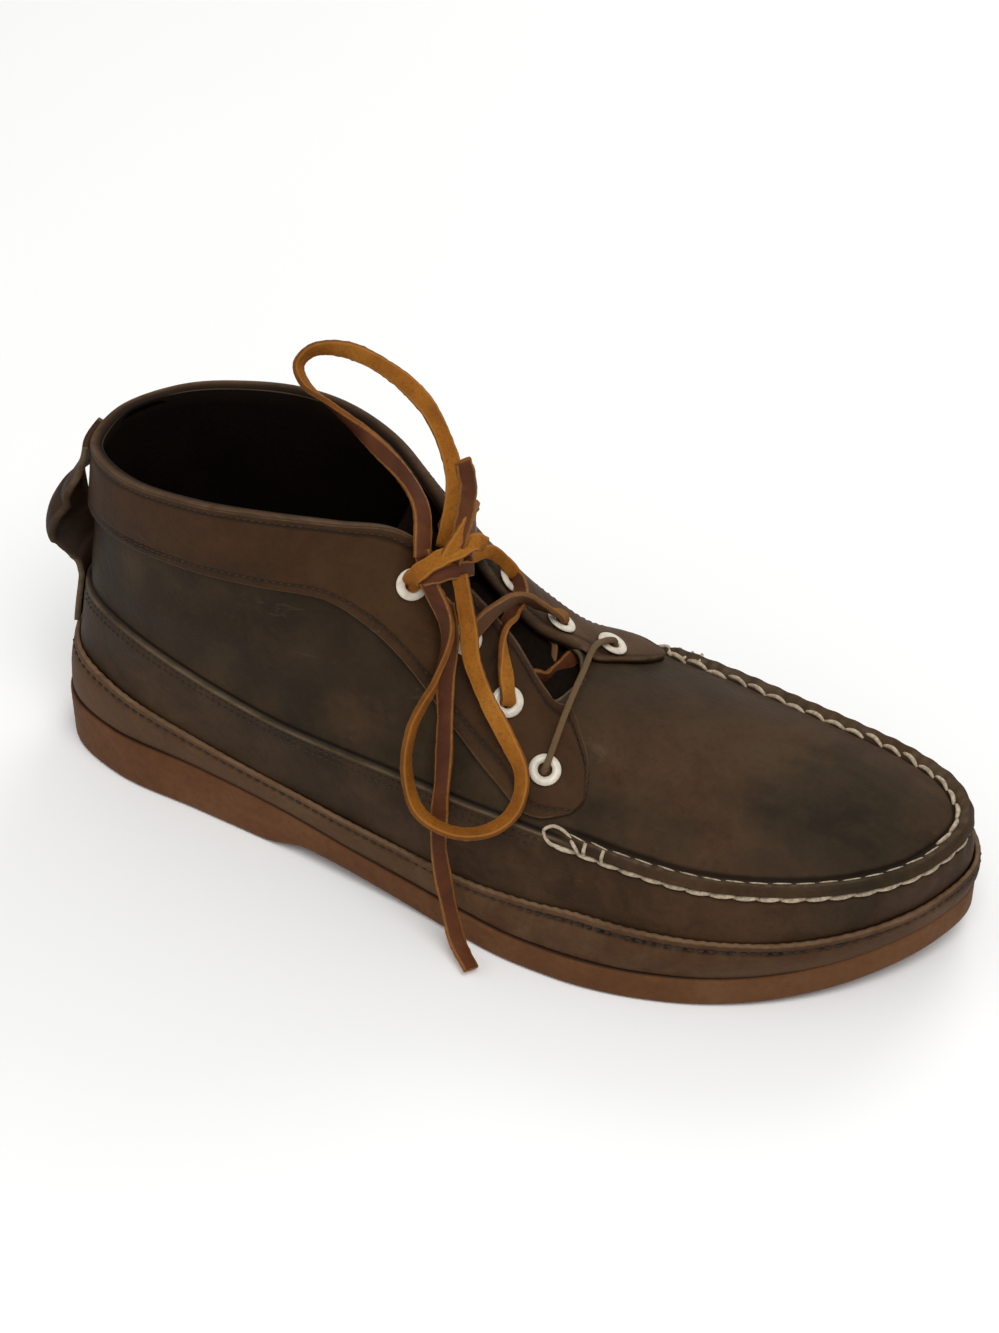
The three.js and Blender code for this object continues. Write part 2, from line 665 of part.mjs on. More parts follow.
add("outsole", outsoleGeometry(), rubber);
add("insole", insoleGeometry(), leather);
add("rand", randGeometry(), leather);
add("upper", punched(upperGeometry()), leather);
add("collar_facing", punched(facingGeometry()), leather);
add("tongue", tongueGeometry(), leather);
add("backstay_pull_loop", backstayGeometry(), leather);
for (const { name, u, w } of eyeletSeats) add(name, eyeletGeometry(u, w), metal);
add("lace_crossings", laceCrossings(), rawhide);
for (const [name, points] of Object.entries(LACE_ROUTES)) add(name, cordGeometry(points), rawhide);

export default group;
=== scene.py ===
"""The looks of a moccasin-toe chukka boot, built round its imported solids. Lengths are millimetres
measured from the heel's back until a mesh is made, and +X runs to the toe, +Y to the inner side."""

import math

import bmesh
import bpy
import numpy as np
from mathutils import Matrix, Vector


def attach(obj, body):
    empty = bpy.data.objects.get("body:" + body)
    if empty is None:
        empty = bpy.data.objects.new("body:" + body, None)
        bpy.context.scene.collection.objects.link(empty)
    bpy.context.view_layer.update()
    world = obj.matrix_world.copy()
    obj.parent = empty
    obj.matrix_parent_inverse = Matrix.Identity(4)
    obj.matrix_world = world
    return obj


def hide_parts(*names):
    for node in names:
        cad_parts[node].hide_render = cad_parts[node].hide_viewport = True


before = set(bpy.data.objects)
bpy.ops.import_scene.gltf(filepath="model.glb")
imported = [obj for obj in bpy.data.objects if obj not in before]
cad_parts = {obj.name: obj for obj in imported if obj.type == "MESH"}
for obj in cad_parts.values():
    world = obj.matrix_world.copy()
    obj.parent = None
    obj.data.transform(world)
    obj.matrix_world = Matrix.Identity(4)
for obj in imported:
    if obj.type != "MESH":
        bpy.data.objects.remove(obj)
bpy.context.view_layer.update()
random = np.random.default_rng(11)

MM = 0.001
HEEL_CENTRE = 42

# The last and the sole, as in the part's source.
LENGTH = 290
HALF_BALL = 54
COLLAR = 120
SOLE_THICK = 11
HEEL_LIFT = 8
TOE_SPRING = 8.4
ARCH = 4.5
GAP = 0.3
SKIN = 1.6
WALL_STEP = 1.4
RIDGE = 3.4
FACING = 1.6
FACING_LIFT = 0.62
RAND = 2.6
BASE_INSET = 5

# foot x, y, swell, seam x, y, z, belly, rise, top x, y, z of each station, heel to toe.
OUTER_SIDE = [
    [0.007, 0.000, 1.0, 0.042, 0.000, 0.500, 0.0, 0.0, 0.063, 0.000, 0.917],
    [0.028, -0.315, 1.0, 0.062, -0.240, 0.512, 0.0, 0.0, 0.083, -0.185, 0.933],
    [0.097, -0.520, 1.0, 0.115, -0.435, 0.512, 1.0, 0.0, 0.135, -0.361, 0.950],
    [0.201, -0.611, 1.5, 0.201, -0.574, 0.475, 1.5, 0.0, 0.219, -0.490, 0.990],
    [0.306, -0.704, 1.5, 0.299, -0.648, 0.425, 2.0, 0.0, 0.292, -0.500, 1.012],
    [0.396, -0.806, 1.5, 0.382, -0.704, 0.412, 1.5, 0.0, 0.361, -0.417, 1.008],
    [0.472, -0.889, 1.5, 0.462, -0.759, 0.408, 1.0, 0.0, 0.414, -0.240, 0.958],
    [0.531, -0.963, 1.5, 0.521, -0.796, 0.400, 0.5, 0.5, 0.472, -0.148, 0.808],
    [0.576, -1.019, 1.5, 0.563, -0.815, 0.396, -1.0, 0.5, 0.521, -0.157, 0.688],
    [0.618, -1.046, 2.0, 0.597, -0.824, 0.387, 0.0, 1.5, 0.572, -0.240, 0.558],
    [0.660, -1.056, 2.0, 0.639, -0.824, 0.379, 0.0, 4.0, 0.590, 0.019, 0.529],
    [0.715, -1.028, 2.5, 0.694, -0.833, 0.367, 0.0, 4.0, 0.680, 0.000, 0.500],
    [0.785, -0.935, 2.5, 0.764, -0.824, 0.363, 0.0, 3.5, 0.750, 0.037, 0.471],
    [0.854, -0.770, 3.0, 0.844, -0.713, 0.363, 0.0, 2.7, 0.809, 0.056, 0.450],
    [0.924, -0.500, 3.0, 0.910, -0.537, 0.367, 0.0, 2.0, 0.854, 0.074, 0.438],
    [0.979, -0.155, 2.5, 0.958, -0.296, 0.371, 0.0, 1.5, 0.885, 0.093, 0.429],
    [1.000, 0.148, 2.5, 0.983, 0.056, 0.375, 0.0, 1.3, 0.910, 0.093, 0.425],
]
INNER_SIDE = [
    [0.028, 0.315, 1.0, 0.062, 0.240, 0.512, 0.0, 0.0, 0.073, 0.204, 0.946],
    [0.097, 0.528, 1.0, 0.115, 0.435, 0.508, 1.0, 0.0, 0.118, 0.389, 0.975],
    [0.201, 0.602, 1.5, 0.201, 0.556, 0.467, 1.5, 0.0, 0.201, 0.500, 1.004],
    [0.306, 0.602, 1.5, 0.299, 0.583, 0.425, 1.5, 0.0, 0.281, 0.490, 1.017],
    [0.396, 0.611, 1.5, 0.382, 0.600, 0.417, 2.0, 0.0, 0.347, 0.380, 1.000],
    [0.472, 0.648, 1.5, 0.462, 0.630, 0.412, 3.0, 1.0, 0.403, 0.222, 0.950],
    [0.531, 0.694, 1.5, 0.521, 0.667, 0.408, 1.5, 5.0, 0.472, 0.139, 0.742],
    [0.576, 0.741, 1.5, 0.563, 0.704, 0.404, 1.0, 2.0, 0.524, 0.167, 0.600],
    [0.618, 0.787, 2.0, 0.601, 0.741, 0.396, 1.0, 2.0, 0.569, 0.204, 0.542],
    [0.660, 0.833, 2.0, 0.642, 0.726, 0.387, 0.0, 3.0],
    [0.715, 0.861, 2.5, 0.698, 0.704, 0.375, 0.0, 4.0],
    [0.785, 0.852, 3.0, 0.771, 0.639, 0.367, 0.0, 3.5],
    [0.854, 0.778, 3.5, 0.844, 0.565, 0.363, 0.0, 2.7],
    [0.920, 0.639, 3.0, 0.913, 0.454, 0.367, 0.0, 2.0],
    [0.977, 0.426, 2.5, 0.962, 0.296, 0.371, 0.0, 1.5],
]
TOE = len(OUTER_SIDE) - 1
RING = 2 * TOE
PLUG_START = 10

# The last's own functions.


def smooth(low, high, x):
    t = np.clip((np.asarray(x, float) - low) / (high - low), 0, 1)
    return t * t * (3 - 2 * t)


def unit(v):
    return v / np.maximum(np.linalg.norm(v, axis=-1, keepdims=True), 1e-9)


def bell(x, middle, half):
    """1 at the middle and near 0 from about twice half away from it."""
    return np.exp(-((x - middle) / half) ** 2)


def spline(points, shares, closed=False):
    """A centripetal curve through points, at shares of the way along it."""
    points = np.asarray(points, float)
    spans = len(points) if closed else len(points) - 1
    at = np.asarray(shares, float) * spans
    at = at % spans if closed else np.clip(at, 0, spans)
    index = np.minimum(np.floor(at).astype(int), spans - 1)
    t = (at - index)[..., None]
    if closed:
        p0, p1, p2, p3 = (points[(index + k) % spans] for k in (-1, 0, 1, 2))
    else:
        ends = (2 * points[0] - points[1], 2 * points[-1] - points[-2])
        longer = np.vstack([ends[0], points, ends[1]])
        p0, p1, p2, p3 = (longer[index + k] for k in range(4))
    d0, d1, d2 = (
        np.maximum(np.sum((b - a) ** 2, -1, keepdims=True) ** 0.25, 1e-6)
        for a, b in ((p0, p1), (p1, p2), (p2, p3))
    )
    m1 = ((p1 - p0) / d0 - (p2 - p0) / (d0 + d1) + (p2 - p1) / d1) * d1
    m2 = ((p2 - p1) / d1 - (p3 - p1) / (d1 + d2) + (p3 - p2) / d2) * d1
    bend = -3 * p1 + 3 * p2 - 2 * m1 - m2
    return p1 + t * (m1 + t * (bend + t * (2 * p1 - 2 * p2 + m1 + m2)))


def sole_top(x):
    spring = np.clip((x / LENGTH - 0.74) / 0.26, 0, 1)
    return SOLE_THICK + HEEL_LIFT * (1 - smooth(0.16, 0.56, x / LENGTH)) + TOE_SPRING * spring ** 2


def sole_bottom(x):
    share = x / LENGTH
    spring = np.clip((share - 0.74) / 0.26, 0, 1)
    arch = smooth(0.28, 0.34, share) * (1 - smooth(0.36, 0.54, share))
    return ARCH * arch + TOE_SPRING * spring ** 2


def read_station(row, top_row):
    size = np.array([LENGTH, HALF_BALL, COLLAR])
    foot = np.array([row[0] * LENGTH, row[1] * HALF_BALL, 0])
    seam = np.array(row[3:6]) * size
    top = np.array(top_row[8:11]) * size
    middle = (seam + top) / 2 + [0, row[6] * np.sign(row[1]), row[7]]
    return foot, seam, middle, top, row[2]


stations = [read_station(row, row) for row in OUTER_SIDE]
for i in range(TOE - 1, 0, -1):
    row = INNER_SIDE[i - 1]
    stations.append(read_station(row, row if i < PLUG_START else OUTER_SIDE[i]))
FOOT, SEAM, MIDDLE, TOP = (np.array([s[k] for s in stations]) for k in range(4))


def plan_normal(u):
    step = 0.003
    along = spline(FOOT, (u + step) / RING, True) - spline(FOOT, (u - step) / RING, True)
    return unit(np.stack([along[..., 1], -along[..., 0], 0 * along[..., 0]], -1))


def plan_point(u, inset):
    point = spline(FOOT, u / RING, True)
    return point - plan_normal(u) * np.asarray(inset, float)[..., None]


def footing(u, lift=0.0):
    point = plan_point(u, BASE_INSET - lift)
    point[..., 2] = sole_top(point[..., 0]) + GAP
    return point


around = np.arange(RING, dtype=float)
SWELL = np.array([s[4] for s in stations])[:, None]
WALL = (footing(around) + SEAM) / 2 + plan_normal(around) * SWELL


def top_point(u):
    u = u % RING
    return spline(TOP, np.where((u > TOE) & (u <= RING - PLUG_START), RING - u, u) / RING, True)


def parabola(a, b, c, t):
    t = t[..., None]
    return a * (1 - t) * (1 - 2 * t) + b * 4 * t * (1 - t) + c * t * (2 * t - 1)


def skin_point(u, w):
    """The skin without relief: w is 0 at the sole, 1 at the moccasin seam and 2 at the top."""
    u, w = np.broadcast_arrays(np.asarray(u, float), np.asarray(w, float))
    seam = spline(SEAM, u / RING, True)
    low = parabola(footing(u), spline(WALL, u / RING, True), seam, w)
    high = parabola(seam, spline(MIDDLE, u / RING, True), top_point(u), w - 1)
    return np.where((w <= 1)[..., None], low, high)


def patch_normal(u, w):
    step = 0.02
    below = w <= 1
    up = skin_point(u, np.minimum(w + step, np.where(below, 1, 2)))
    up = up - skin_point(u, np.maximum(w - step, np.where(below, 0, 1.0001)))
    along = skin_point(u + step, w) - skin_point(u - step, w)
    return unit(np.cross(along, up))


def is_plug(u):
    return (u % RING >= PLUG_START) & (u % RING <= RING - PLUG_START)


def skin_normal(u, w):
    u, w = np.broadcast_arrays(np.asarray(u, float), np.asarray(w, float))
    normal = patch_normal(u, w)
    other = unit(normal + patch_normal(RING - u, w))
    near = smooth(1.9, 2.0, w) * is_plug(u)
    normal = unit(normal + (other - normal) * near[..., None])
    share = np.clip(np.abs(w - 1) / 0.12, 0, 1)[..., None]
    one = np.ones_like(w)
    across = unit(patch_normal(u, one) + patch_normal(u, one * 1.0001))
    return unit(normal * share + across * (1 - share))


def lifted(u, w, lift):
    u, w, lift = np.broadcast_arrays(*(np.asarray(v, float) for v in (u, w, lift)))
    point = skin_point(u, w) + skin_normal(u, w) * lift[..., None]
    return np.where((w <= 0)[..., None], footing(u, lift), point)


def from_heel(u):
    return np.minimum(u % RING, RING - u % RING)


def ridge_share(u):
    return smooth(PLUG_START - 0.7, PLUG_START + 0.1, from_heel(u))


# Making meshes: boot millimetres in, frame metres out.


def to_frame(points):
    """Frame metres from boot millimetres."""
    return (np.asarray(points, float) - [HEEL_CENTRE, 0, 0]) * MM


def make_mesh(name, points, faces):
    points = to_frame(np.reshape(points, (-1, 3)))
    mesh = bpy.data.meshes.new(name)
    mesh.from_pydata(points.tolist(), [], faces)
    mesh.validate()
    mesh.shade_smooth()
    piece = bpy.data.objects.new(name, mesh)
    bpy.context.scene.collection.objects.link(piece)
    return piece


def grid_faces(rows, columns, start=0, ring=False, flip=False):
    """Quads of a grid of rows by columns, whose points are numbered from start."""
    r, c = np.meshgrid(np.arange(rows - 1), np.arange(columns if ring else columns - 1),
                       indexing="ij")
    d = (c + 1) % columns
    quads = np.stack([r * columns + c, r * columns + d, (r + 1) * columns + d,
                      (r + 1) * columns + c], -1).reshape(-1, 4) + start
    return (quads[:, ::-1] if flip else quads).tolist()


def tube_faces(sections, sides, start=0):
    """Quads of a closed-section tube and its two end caps."""
    quads = grid_faces(sections, sides, start, ring=True)
    last = start + (sections - 1) * sides
    caps = [tuple(range(start + sides - 1, start - 1, -1)), tuple(range(last, last + sides))]
    return quads + caps


def join_tubes(name, tubes):
    """One mesh from closed tubes, each an array of sections by points."""
    faces, start = [], 0
    for tube in tubes:
        sections, sides = tube.shape[:2]
        faces += tube_faces(sections, sides, start)
        start += sections * sides
    return make_mesh(name, np.concatenate([tube.reshape(-1, 3) for tube in tubes]), faces)


def ring_tube(name, sections):
    """A tube that closes on itself, from an array of sections by points."""
    columns, sides = sections.shape[:2]
    faces = []
    for c in range(columns):
        d = (c + 1) % columns
        for i in range(sides):
            j = (i + 1) % sides
            faces.append((c * sides + i, d * sides + i, d * sides + j, c * sides + j))
    return make_mesh(name, sections, faces)


def circle(across, over, sides):
    """Unit steps all round, in the plane of two directions."""
    angle = (2 * np.pi * np.arange(sides) / sides)[:, None]
    return across[..., None, :] * np.cos(angle) + over[..., None, :] * np.sin(angle)


def mark(piece, **values):
    """Numbers on a piece's first vertices and 0 on the rest, for its material to read by name."""
    for name, numbers in values.items():
        layer = piece.data.attributes.new(name, "FLOAT", "POINT")
        padded = np.zeros(len(piece.data.vertices), np.float32)
        padded[:np.size(numbers)] = np.ravel(numbers)
        layer.data.foreach_set("value", padded)


def dress(piece, material, slot, *nodes):
    """Gives a piece its material and its body and hides the imported nodes it stands for; slot is
    not used.
    """
    piece.data.materials.clear()
    piece.data.materials.append(material)
    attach(piece, "root")
    if nodes:
        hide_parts(*nodes)


def double_sheet(name, outer, inner):
    """A closed sheet between two equal grids of points."""
    rows, width = outer.shape[:2]
    shift = rows * width
    faces = grid_faces(rows, width) + grid_faces(rows, width, shift, flip=True)
    for r in range(rows - 1):
        a, b = r * width, (r + 1) * width
        faces.append((a, b, shift + b, shift + a))
        faces.append((a + width - 1, shift + a + width - 1, shift + b + width - 1, b + width - 1))
    last = (rows - 1) * width
    for c in range(width - 1):
        faces.append((c, shift + c, shift + c + 1, c + 1))
        faces.append((last + c, last + c + 1, shift + last + c + 1, shift + last + c))
    return make_mesh(name, np.concatenate([outer.reshape(-1, 3), inner.reshape(-1, 3)]), faces)


# The camera.

CAMERA_AZIMUTH = 22.0
CAMERA_ELEVATION = 39.9
CAMERA_ROLL = -0.1
CAMERA_DISTANCE = 880
CAMERA_TARGET = np.array([150.0, 0.0, 50.0])
CAMERA_SLIDE = (5.0, -43.7)
FOCAL_PIXELS = 2989
PHOTO_LONG_SIDE = 1333
# How far the camera looks down from the photograph's own aim, so that the one boot is centred.
CAMERA_DIP = 2.2


def add_camera():
    """The photograph's own viewpoint."""
    azimuth, elevation = math.radians(CAMERA_AZIMUTH), math.radians(CAMERA_ELEVATION)
    roll = math.radians(CAMERA_ROLL)
    back = np.array([math.sin(azimuth) * math.cos(elevation),
                     -math.cos(azimuth) * math.cos(elevation), math.sin(elevation)])
    level = np.array([math.cos(azimuth), math.sin(azimuth), 0.0])
    over = np.cross(back, level)
    right = level * math.cos(roll) + over * math.sin(roll)
    up = -level * math.sin(roll) + over * math.cos(roll)
    place = (CAMERA_TARGET + back * CAMERA_DISTANCE
             - right * CAMERA_SLIDE[0] - up * CAMERA_SLIDE[1])
    dip = math.radians(CAMERA_DIP)
    back, up = back * math.cos(dip) + up * math.sin(dip), up * math.cos(dip) - back * math.sin(dip)
    data = bpy.data.cameras.new("camera")
    data.lens = FOCAL_PIXELS / PHOTO_LONG_SIDE * data.sensor_width
    data.clip_start, data.clip_end = 0.05, 20
    camera = bpy.data.objects.new("camera", data)
    turn = Matrix((right, up, back)).transposed().to_4x4()
    camera.matrix_world = Matrix.Translation(Vector(to_frame(place))) @ turn
    bpy.context.scene.collection.objects.link(camera)
    bpy.context.scene.camera = camera


add_camera()

# Materials.


class Nodes:
    """A few shorthands for building one material's node tree."""

    def __init__(self, name):
        self.material = bpy.data.materials.new(name)
        self.material.use_nodes = True
        self.tree = self.material.node_tree
        self.shader = self.tree.nodes["Principled BSDF"]
        self.place = self.add("ShaderNodeTexCoord", "Object", {})

    def put(self, value, socket):
        """Links another node's output to a socket, or sets a number, a scale or a colour."""
        if isinstance(value, bpy.types.NodeSocket):
            self.tree.links.new(value, socket)
        elif isinstance(value, (int, float)):
            socket.default_value = value
        else:
            socket.default_value = (*value, 1)[:len(socket.default_value)]

    def add(self, kind, output, inputs, **settings):
        """Adds a node, puts in its inputs and gives one of its outputs."""
        node = self.tree.nodes.new(kind)
        for key, value in settings.items():
            setattr(node, key, value)
        for key, value in inputs.items():
            self.put(value, node.inputs[key])
        return node.outputs[output]

    def stretched(self, stretch):
        if stretch is None:
            return self.place
        return self.add("ShaderNodeMapping", "Vector", {"Vector": self.place, "Scale": stretch})

    def noise(self, scale, detail=3.0, rough=0.55, distortion=0.0, stretch=None):
        return self.add("ShaderNodeTexNoise", "Fac", {
            "Scale": scale, "Detail": detail, "Roughness": rough, "Distortion": distortion,
            "Vector": self.stretched(stretch)})

    def cells(self, scale, stretch=None):
        return self.add("ShaderNodeTexVoronoi", "Distance",
                        {"Scale": scale, "Vector": self.stretched(stretch)})

    def value(self, name):
        return self.add("ShaderNodeAttribute", "Fac", {}, attribute_name=name)

    def ramp(self, source, *stops):
        """Maps a number to colours: each stop is a place and a colour."""
        output = self.add("ShaderNodeValToRGB", "Color", {"Fac": source})
        bar = output.node.color_ramp
        while len(bar.elements) < len(stops):
            bar.elements.new(0.5)
        for element, (at, colour) in zip(bar.elements, stops):
            element.position = at
            element.color = (*colour, 1)
        return output

    def range(self, source, low, high, to_low=0.0, to_high=1.0):
        return self.add("ShaderNodeMapRange", "Result", {
            "Value": source, "From Min": low, "From Max": high, "To Min": to_low,
            "To Max": to_high})

    def mix(self, share, a, b):
        """Mixes two colours; share, a and b may be sockets or plain values."""
        return self.add("ShaderNodeMix", 2, {0: share, 6: a, 7: b}, data_type="RGBA")

    def math(self, operation, a, b):
        return self.add("ShaderNodeMath", 0, {0: a, 1: b}, operation=operation)

    def bump(self, height, distance, strength, below=None):
        inputs = {"Height": height, "Distance": distance * MM, "Strength": strength}
        if below is not None:
            inputs["Normal"] = below
        return self.add("ShaderNodeBump", "Normal", inputs)

    def finish(self, colour, rough, normal, specular):
        for key, value in (("Base Color", colour), ("Roughness", rough), ("Normal", normal),
                           ("Specular IOR Level", specular)):
            if value is not None:
                self.put(value, self.shader.inputs[key])
        return self.material


# The warmer brown of the worn leather, darker and paler.
RED_BROWN = ((0.034, 0.0148, 0.0060), (0.068, 0.0310, 0.0135))


def leather(name, deep, mid, worn, edge, mottle=9.0, green=0.0):
    """Oiled pull-up leather: cloudy waxed tones, fine pores, scuffs, pale edges that are partly
    worn and partly painted highlight, and painted shade.
    """
    n = Nodes(name)
    clouds = n.noise(mottle, 4, 0.62, 0.9)
    other = n.noise(mottle * 1.7, 3, 0.6, 1.4, stretch=(1.0, 1.3, 0.8))
    fine = n.noise(mottle * 8, 5, 0.68, 0.5)
    pores = n.cells(900, stretch=(1.0, 1.2, 1.0))
    grain = n.noise(520, 4, 0.65)
    colour = n.ramp(clouds, (0.34, deep), (0.50, mid), (0.68, worn))
    olive = (deep[0] * 0.95, deep[1] * 1.18, deep[2] * 1.05)
    colour = n.mix(n.range(other, 0.46, 0.66, 0, green), colour, olive)
    colour = n.mix(n.range(n.value("red"), 0, 1, 0, 0.85), colour,
                   n.mix(n.range(fine, 0.35, 0.7), RED_BROWN[0], RED_BROWN[1]))
    # Lighter and darker patches from the marks: mostly the leather's own tone, in places painted
    # shade.
    colour = n.mix(n.range(n.value("light"), 0, 1, 0, 0.75), colour, [c * 1.15 for c in worn])
    colour = n.mix(n.range(n.value("light"), 0, -1, 0, 0.70), colour, [c * 0.62 for c in deep])
    colour = n.mix(n.range(fine, 0.42, 0.74, 0, 0.42), colour, worn)
    colour = n.mix(n.range(grain, 0.50, 0.80, 0, 0.30), colour, [c * 0.5 for c in deep])
    colour = n.mix(n.range(pores, 0.0, 0.22, 0.30, 0.0), colour, [c * 0.4 for c in deep])
    scuff = n.noise(48, 7, 0.78, 1.6, stretch=(0.45, 1.0, 1.7))
    colour = n.mix(n.range(scuff, 0.60, 0.74, 0, 0.30), colour, edge)
    # Pale edges: partly worn edges, partly painted highlights along lit lips and the far facing's
    # sheen.
    worn_edge_and_highlight = n.math("MULTIPLY", n.value("edge"), n.range(scuff, 0.36, 0.62, 0.25, 1.0))
    colour = n.mix(worn_edge_and_highlight, colour, edge)
    # Painted shade: near black in grooves, stitch channels, joins and undersides, where the marks
    # say.
    colour = n.mix(n.value("dark"), colour, [c * 0.12 for c in deep])
    rough = n.range(clouds, 0.3, 0.7, 0.54, 0.70)
    rough = n.math("ADD", rough, n.range(fine, 0.3, 0.7, 0.0, 0.10))
    normal = n.bump(pores, 0.10, 0.5)
    normal = n.bump(grain, 0.16, 0.55, normal)
    normal = n.bump(n.noise(55, 5, 0.62, 0.5), 0.7, 0.6, normal)
    return n.finish(colour, rough, normal, 0.11)


def suede(name, deep, mid, pale):
    """The flesh side of the leather, as on linings: matt, fibrous."""
    n = Nodes(name)
    fibres = n.noise(900, 5, 0.7, 0.8, stretch=(1.0, 0.35, 1.0))
    clouds = n.noise(22, 4, 0.6)
    colour = n.ramp(clouds, (0.3, deep), (0.55, mid), (0.8, pale))
    colour = n.mix(n.range(fibres, 0.4, 0.7, 0, 0.4), colour, pale)
    return n.finish(colour, 0.95, n.bump(fibres, 0.3, 0.7), 0.05)


def rubber(name, deep, mid, pale):
    """Moulded crepe-like rubber, rubbed and dusty along its edges."""
    n = Nodes(name)
    clouds = n.noise(14, 5, 0.65, 0.5)
    crumb = n.noise(420, 4, 0.7)
    colour = n.ramp(clouds, (0.28, deep), (0.52, mid), (0.78, pale))
    colour = n.mix(n.range(crumb, 0.45, 0.75, 0, 0.3), colour, deep)
    colour = n.mix(n.value("edge"), colour, pale)
    # Painted shade along the sole's top, where the rand meets it.
    colour = n.mix(n.value("dark"), colour, [c * 0.2 for c in deep])
    rough = n.range(crumb, 0.3, 0.7, 0.62, 0.82)
    normal = n.bump(crumb, 0.18, 0.6)
    normal = n.bump(n.noise(70, 3, 0.5, 0.5, stretch=(1, 1, 3)), 0.3, 0.5, normal)
    return n.finish(colour, rough, normal, 0.15)


def thread(name, deep, pale, rough=0.6):
    """Waxed twisted thread."""
    n = Nodes(name)
    strands = n.noise(700, 4, 0.6, 0.5)
    colour = n.ramp(strands, (0.3, deep), (0.6, pale))
    colour = n.mix(n.range(n.noise(40, 3), 0.45, 0.7, 0, 0.4), colour, deep)
    return n.finish(colour, rough, n.bump(strands, 0.15, 0.6), 0.35)


def rawhide(name):
    """The lace: a smooth red-brown grain side, a napped orange flesh side and pale cut edges."""
    n = Nodes(name)
    clouds = n.noise(45, 4, 0.6, 0.4)
    nap = n.noise(1100, 5, 0.75, 1.0)
    grain = n.ramp(clouds, (0.28, (0.040, 0.0106, 0.0030)), (0.55, (0.090, 0.0250, 0.0070)),
                   (0.80, (0.145, 0.0500, 0.0160)))
    flesh = n.ramp(clouds, (0.25, (0.146, 0.0430, 0.0042)), (0.50, (0.272, 0.0940, 0.0090)),
                   (0.78, (0.400, 0.1620, 0.0215)))
    flesh = n.mix(n.range(nap, 0.48, 0.70, 0, 0.65), flesh, (0.095, 0.0280, 0.0045))
    colour = n.mix(n.value("flesh"), grain, flesh)
    colour = n.mix(n.math("MULTIPLY", n.value("edge"), n.range(nap, 0.35, 0.65, 0.35, 1.0)),
                   colour, (0.400, 0.1750, 0.0360))
    colour = n.mix(n.value("aged"), colour,
                   n.mix(nap, (0.055, 0.036, 0.018), (0.150, 0.105, 0.055)))
    rough = n.range(n.value("flesh"), 0, 1, 0.5, 0.88)
    normal = n.bump(nap, 0.3, 0.7)
    return n.finish(colour, rough, normal, 0.14)


def enamel(name):
    """Cream enamelled brass, rubbed in places."""
    n = Nodes(name)
    wear = n.noise(380, 4, 0.7, 0.4)
    colour = n.ramp(wear, (0.42, (0.66, 0.60, 0.50)), (0.70, (0.52, 0.44, 0.33)),
                    (0.84, (0.20, 0.14, 0.08)))
    rough = n.range(wear, 0.4, 0.8, 0.28, 0.5)
    return n.finish(colour, rough, n.bump(wear, 0.05, 0.4), 0.5)


def floor_paper(name):
    """The studio's plain pale floor."""
    n = Nodes(name)
    colour = n.ramp(n.noise(2, 2), (0.3, (0.93, 0.93, 0.92)), (0.7, (0.96, 0.96, 0.95)))
    return n.finish(colour, 0.9, None, 0.1)


UPPER_LEATHER = leather("upper_leather", (0.0150, 0.0092, 0.0040), (0.032, 0.0185, 0.0084),
                        (0.060, 0.0355, 0.0175), (0.150, 0.105, 0.064), green=0.75)
BAND_LEATHER = leather("band_leather", (0.020, 0.0090, 0.0032), (0.041, 0.0175, 0.0056),
                       (0.066, 0.0315, 0.0120), (0.135, 0.088, 0.052), mottle=14, green=0.2)
RAND_LEATHER = leather("rand_leather", (0.032, 0.0140, 0.0056), (0.066, 0.0275, 0.0100),
                       (0.108, 0.0580, 0.0275), (0.205, 0.130, 0.072), mottle=16, green=0.25)
TONGUE_LEATHER = suede("tongue_leather", (0.0040, 0.0024, 0.0014), (0.0090, 0.0052, 0.0030),
                       (0.018, 0.011, 0.007))
LINING = suede("lining", (0.0030, 0.0018, 0.0010), (0.0060, 0.0035, 0.0020),
               (0.012, 0.007, 0.004))
BED_LEATHER = suede("bed_leather", (0.014, 0.008, 0.004), (0.028, 0.016, 0.009),
                    (0.045, 0.028, 0.016))
SOLE_RUBBER = rubber("sole_rubber", (0.062, 0.0235, 0.0072), (0.108, 0.0405, 0.0125),
                     (0.155, 0.0700, 0.0270))
SEAM_THREAD = thread("seam_thread", (0.20, 0.145, 0.088), (0.50, 0.40, 0.28))
FINE_THREAD = thread("fine_thread", (0.010, 0.006, 0.003), (0.032, 0.020, 0.012), 0.8)
LACE = rawhide("rawhide_lace")
EYELET_ENAMEL = enamel("eyelet_enamel")

# The lace.

LACE_WIDTH = 5.0
LACE_THICK = 1.9
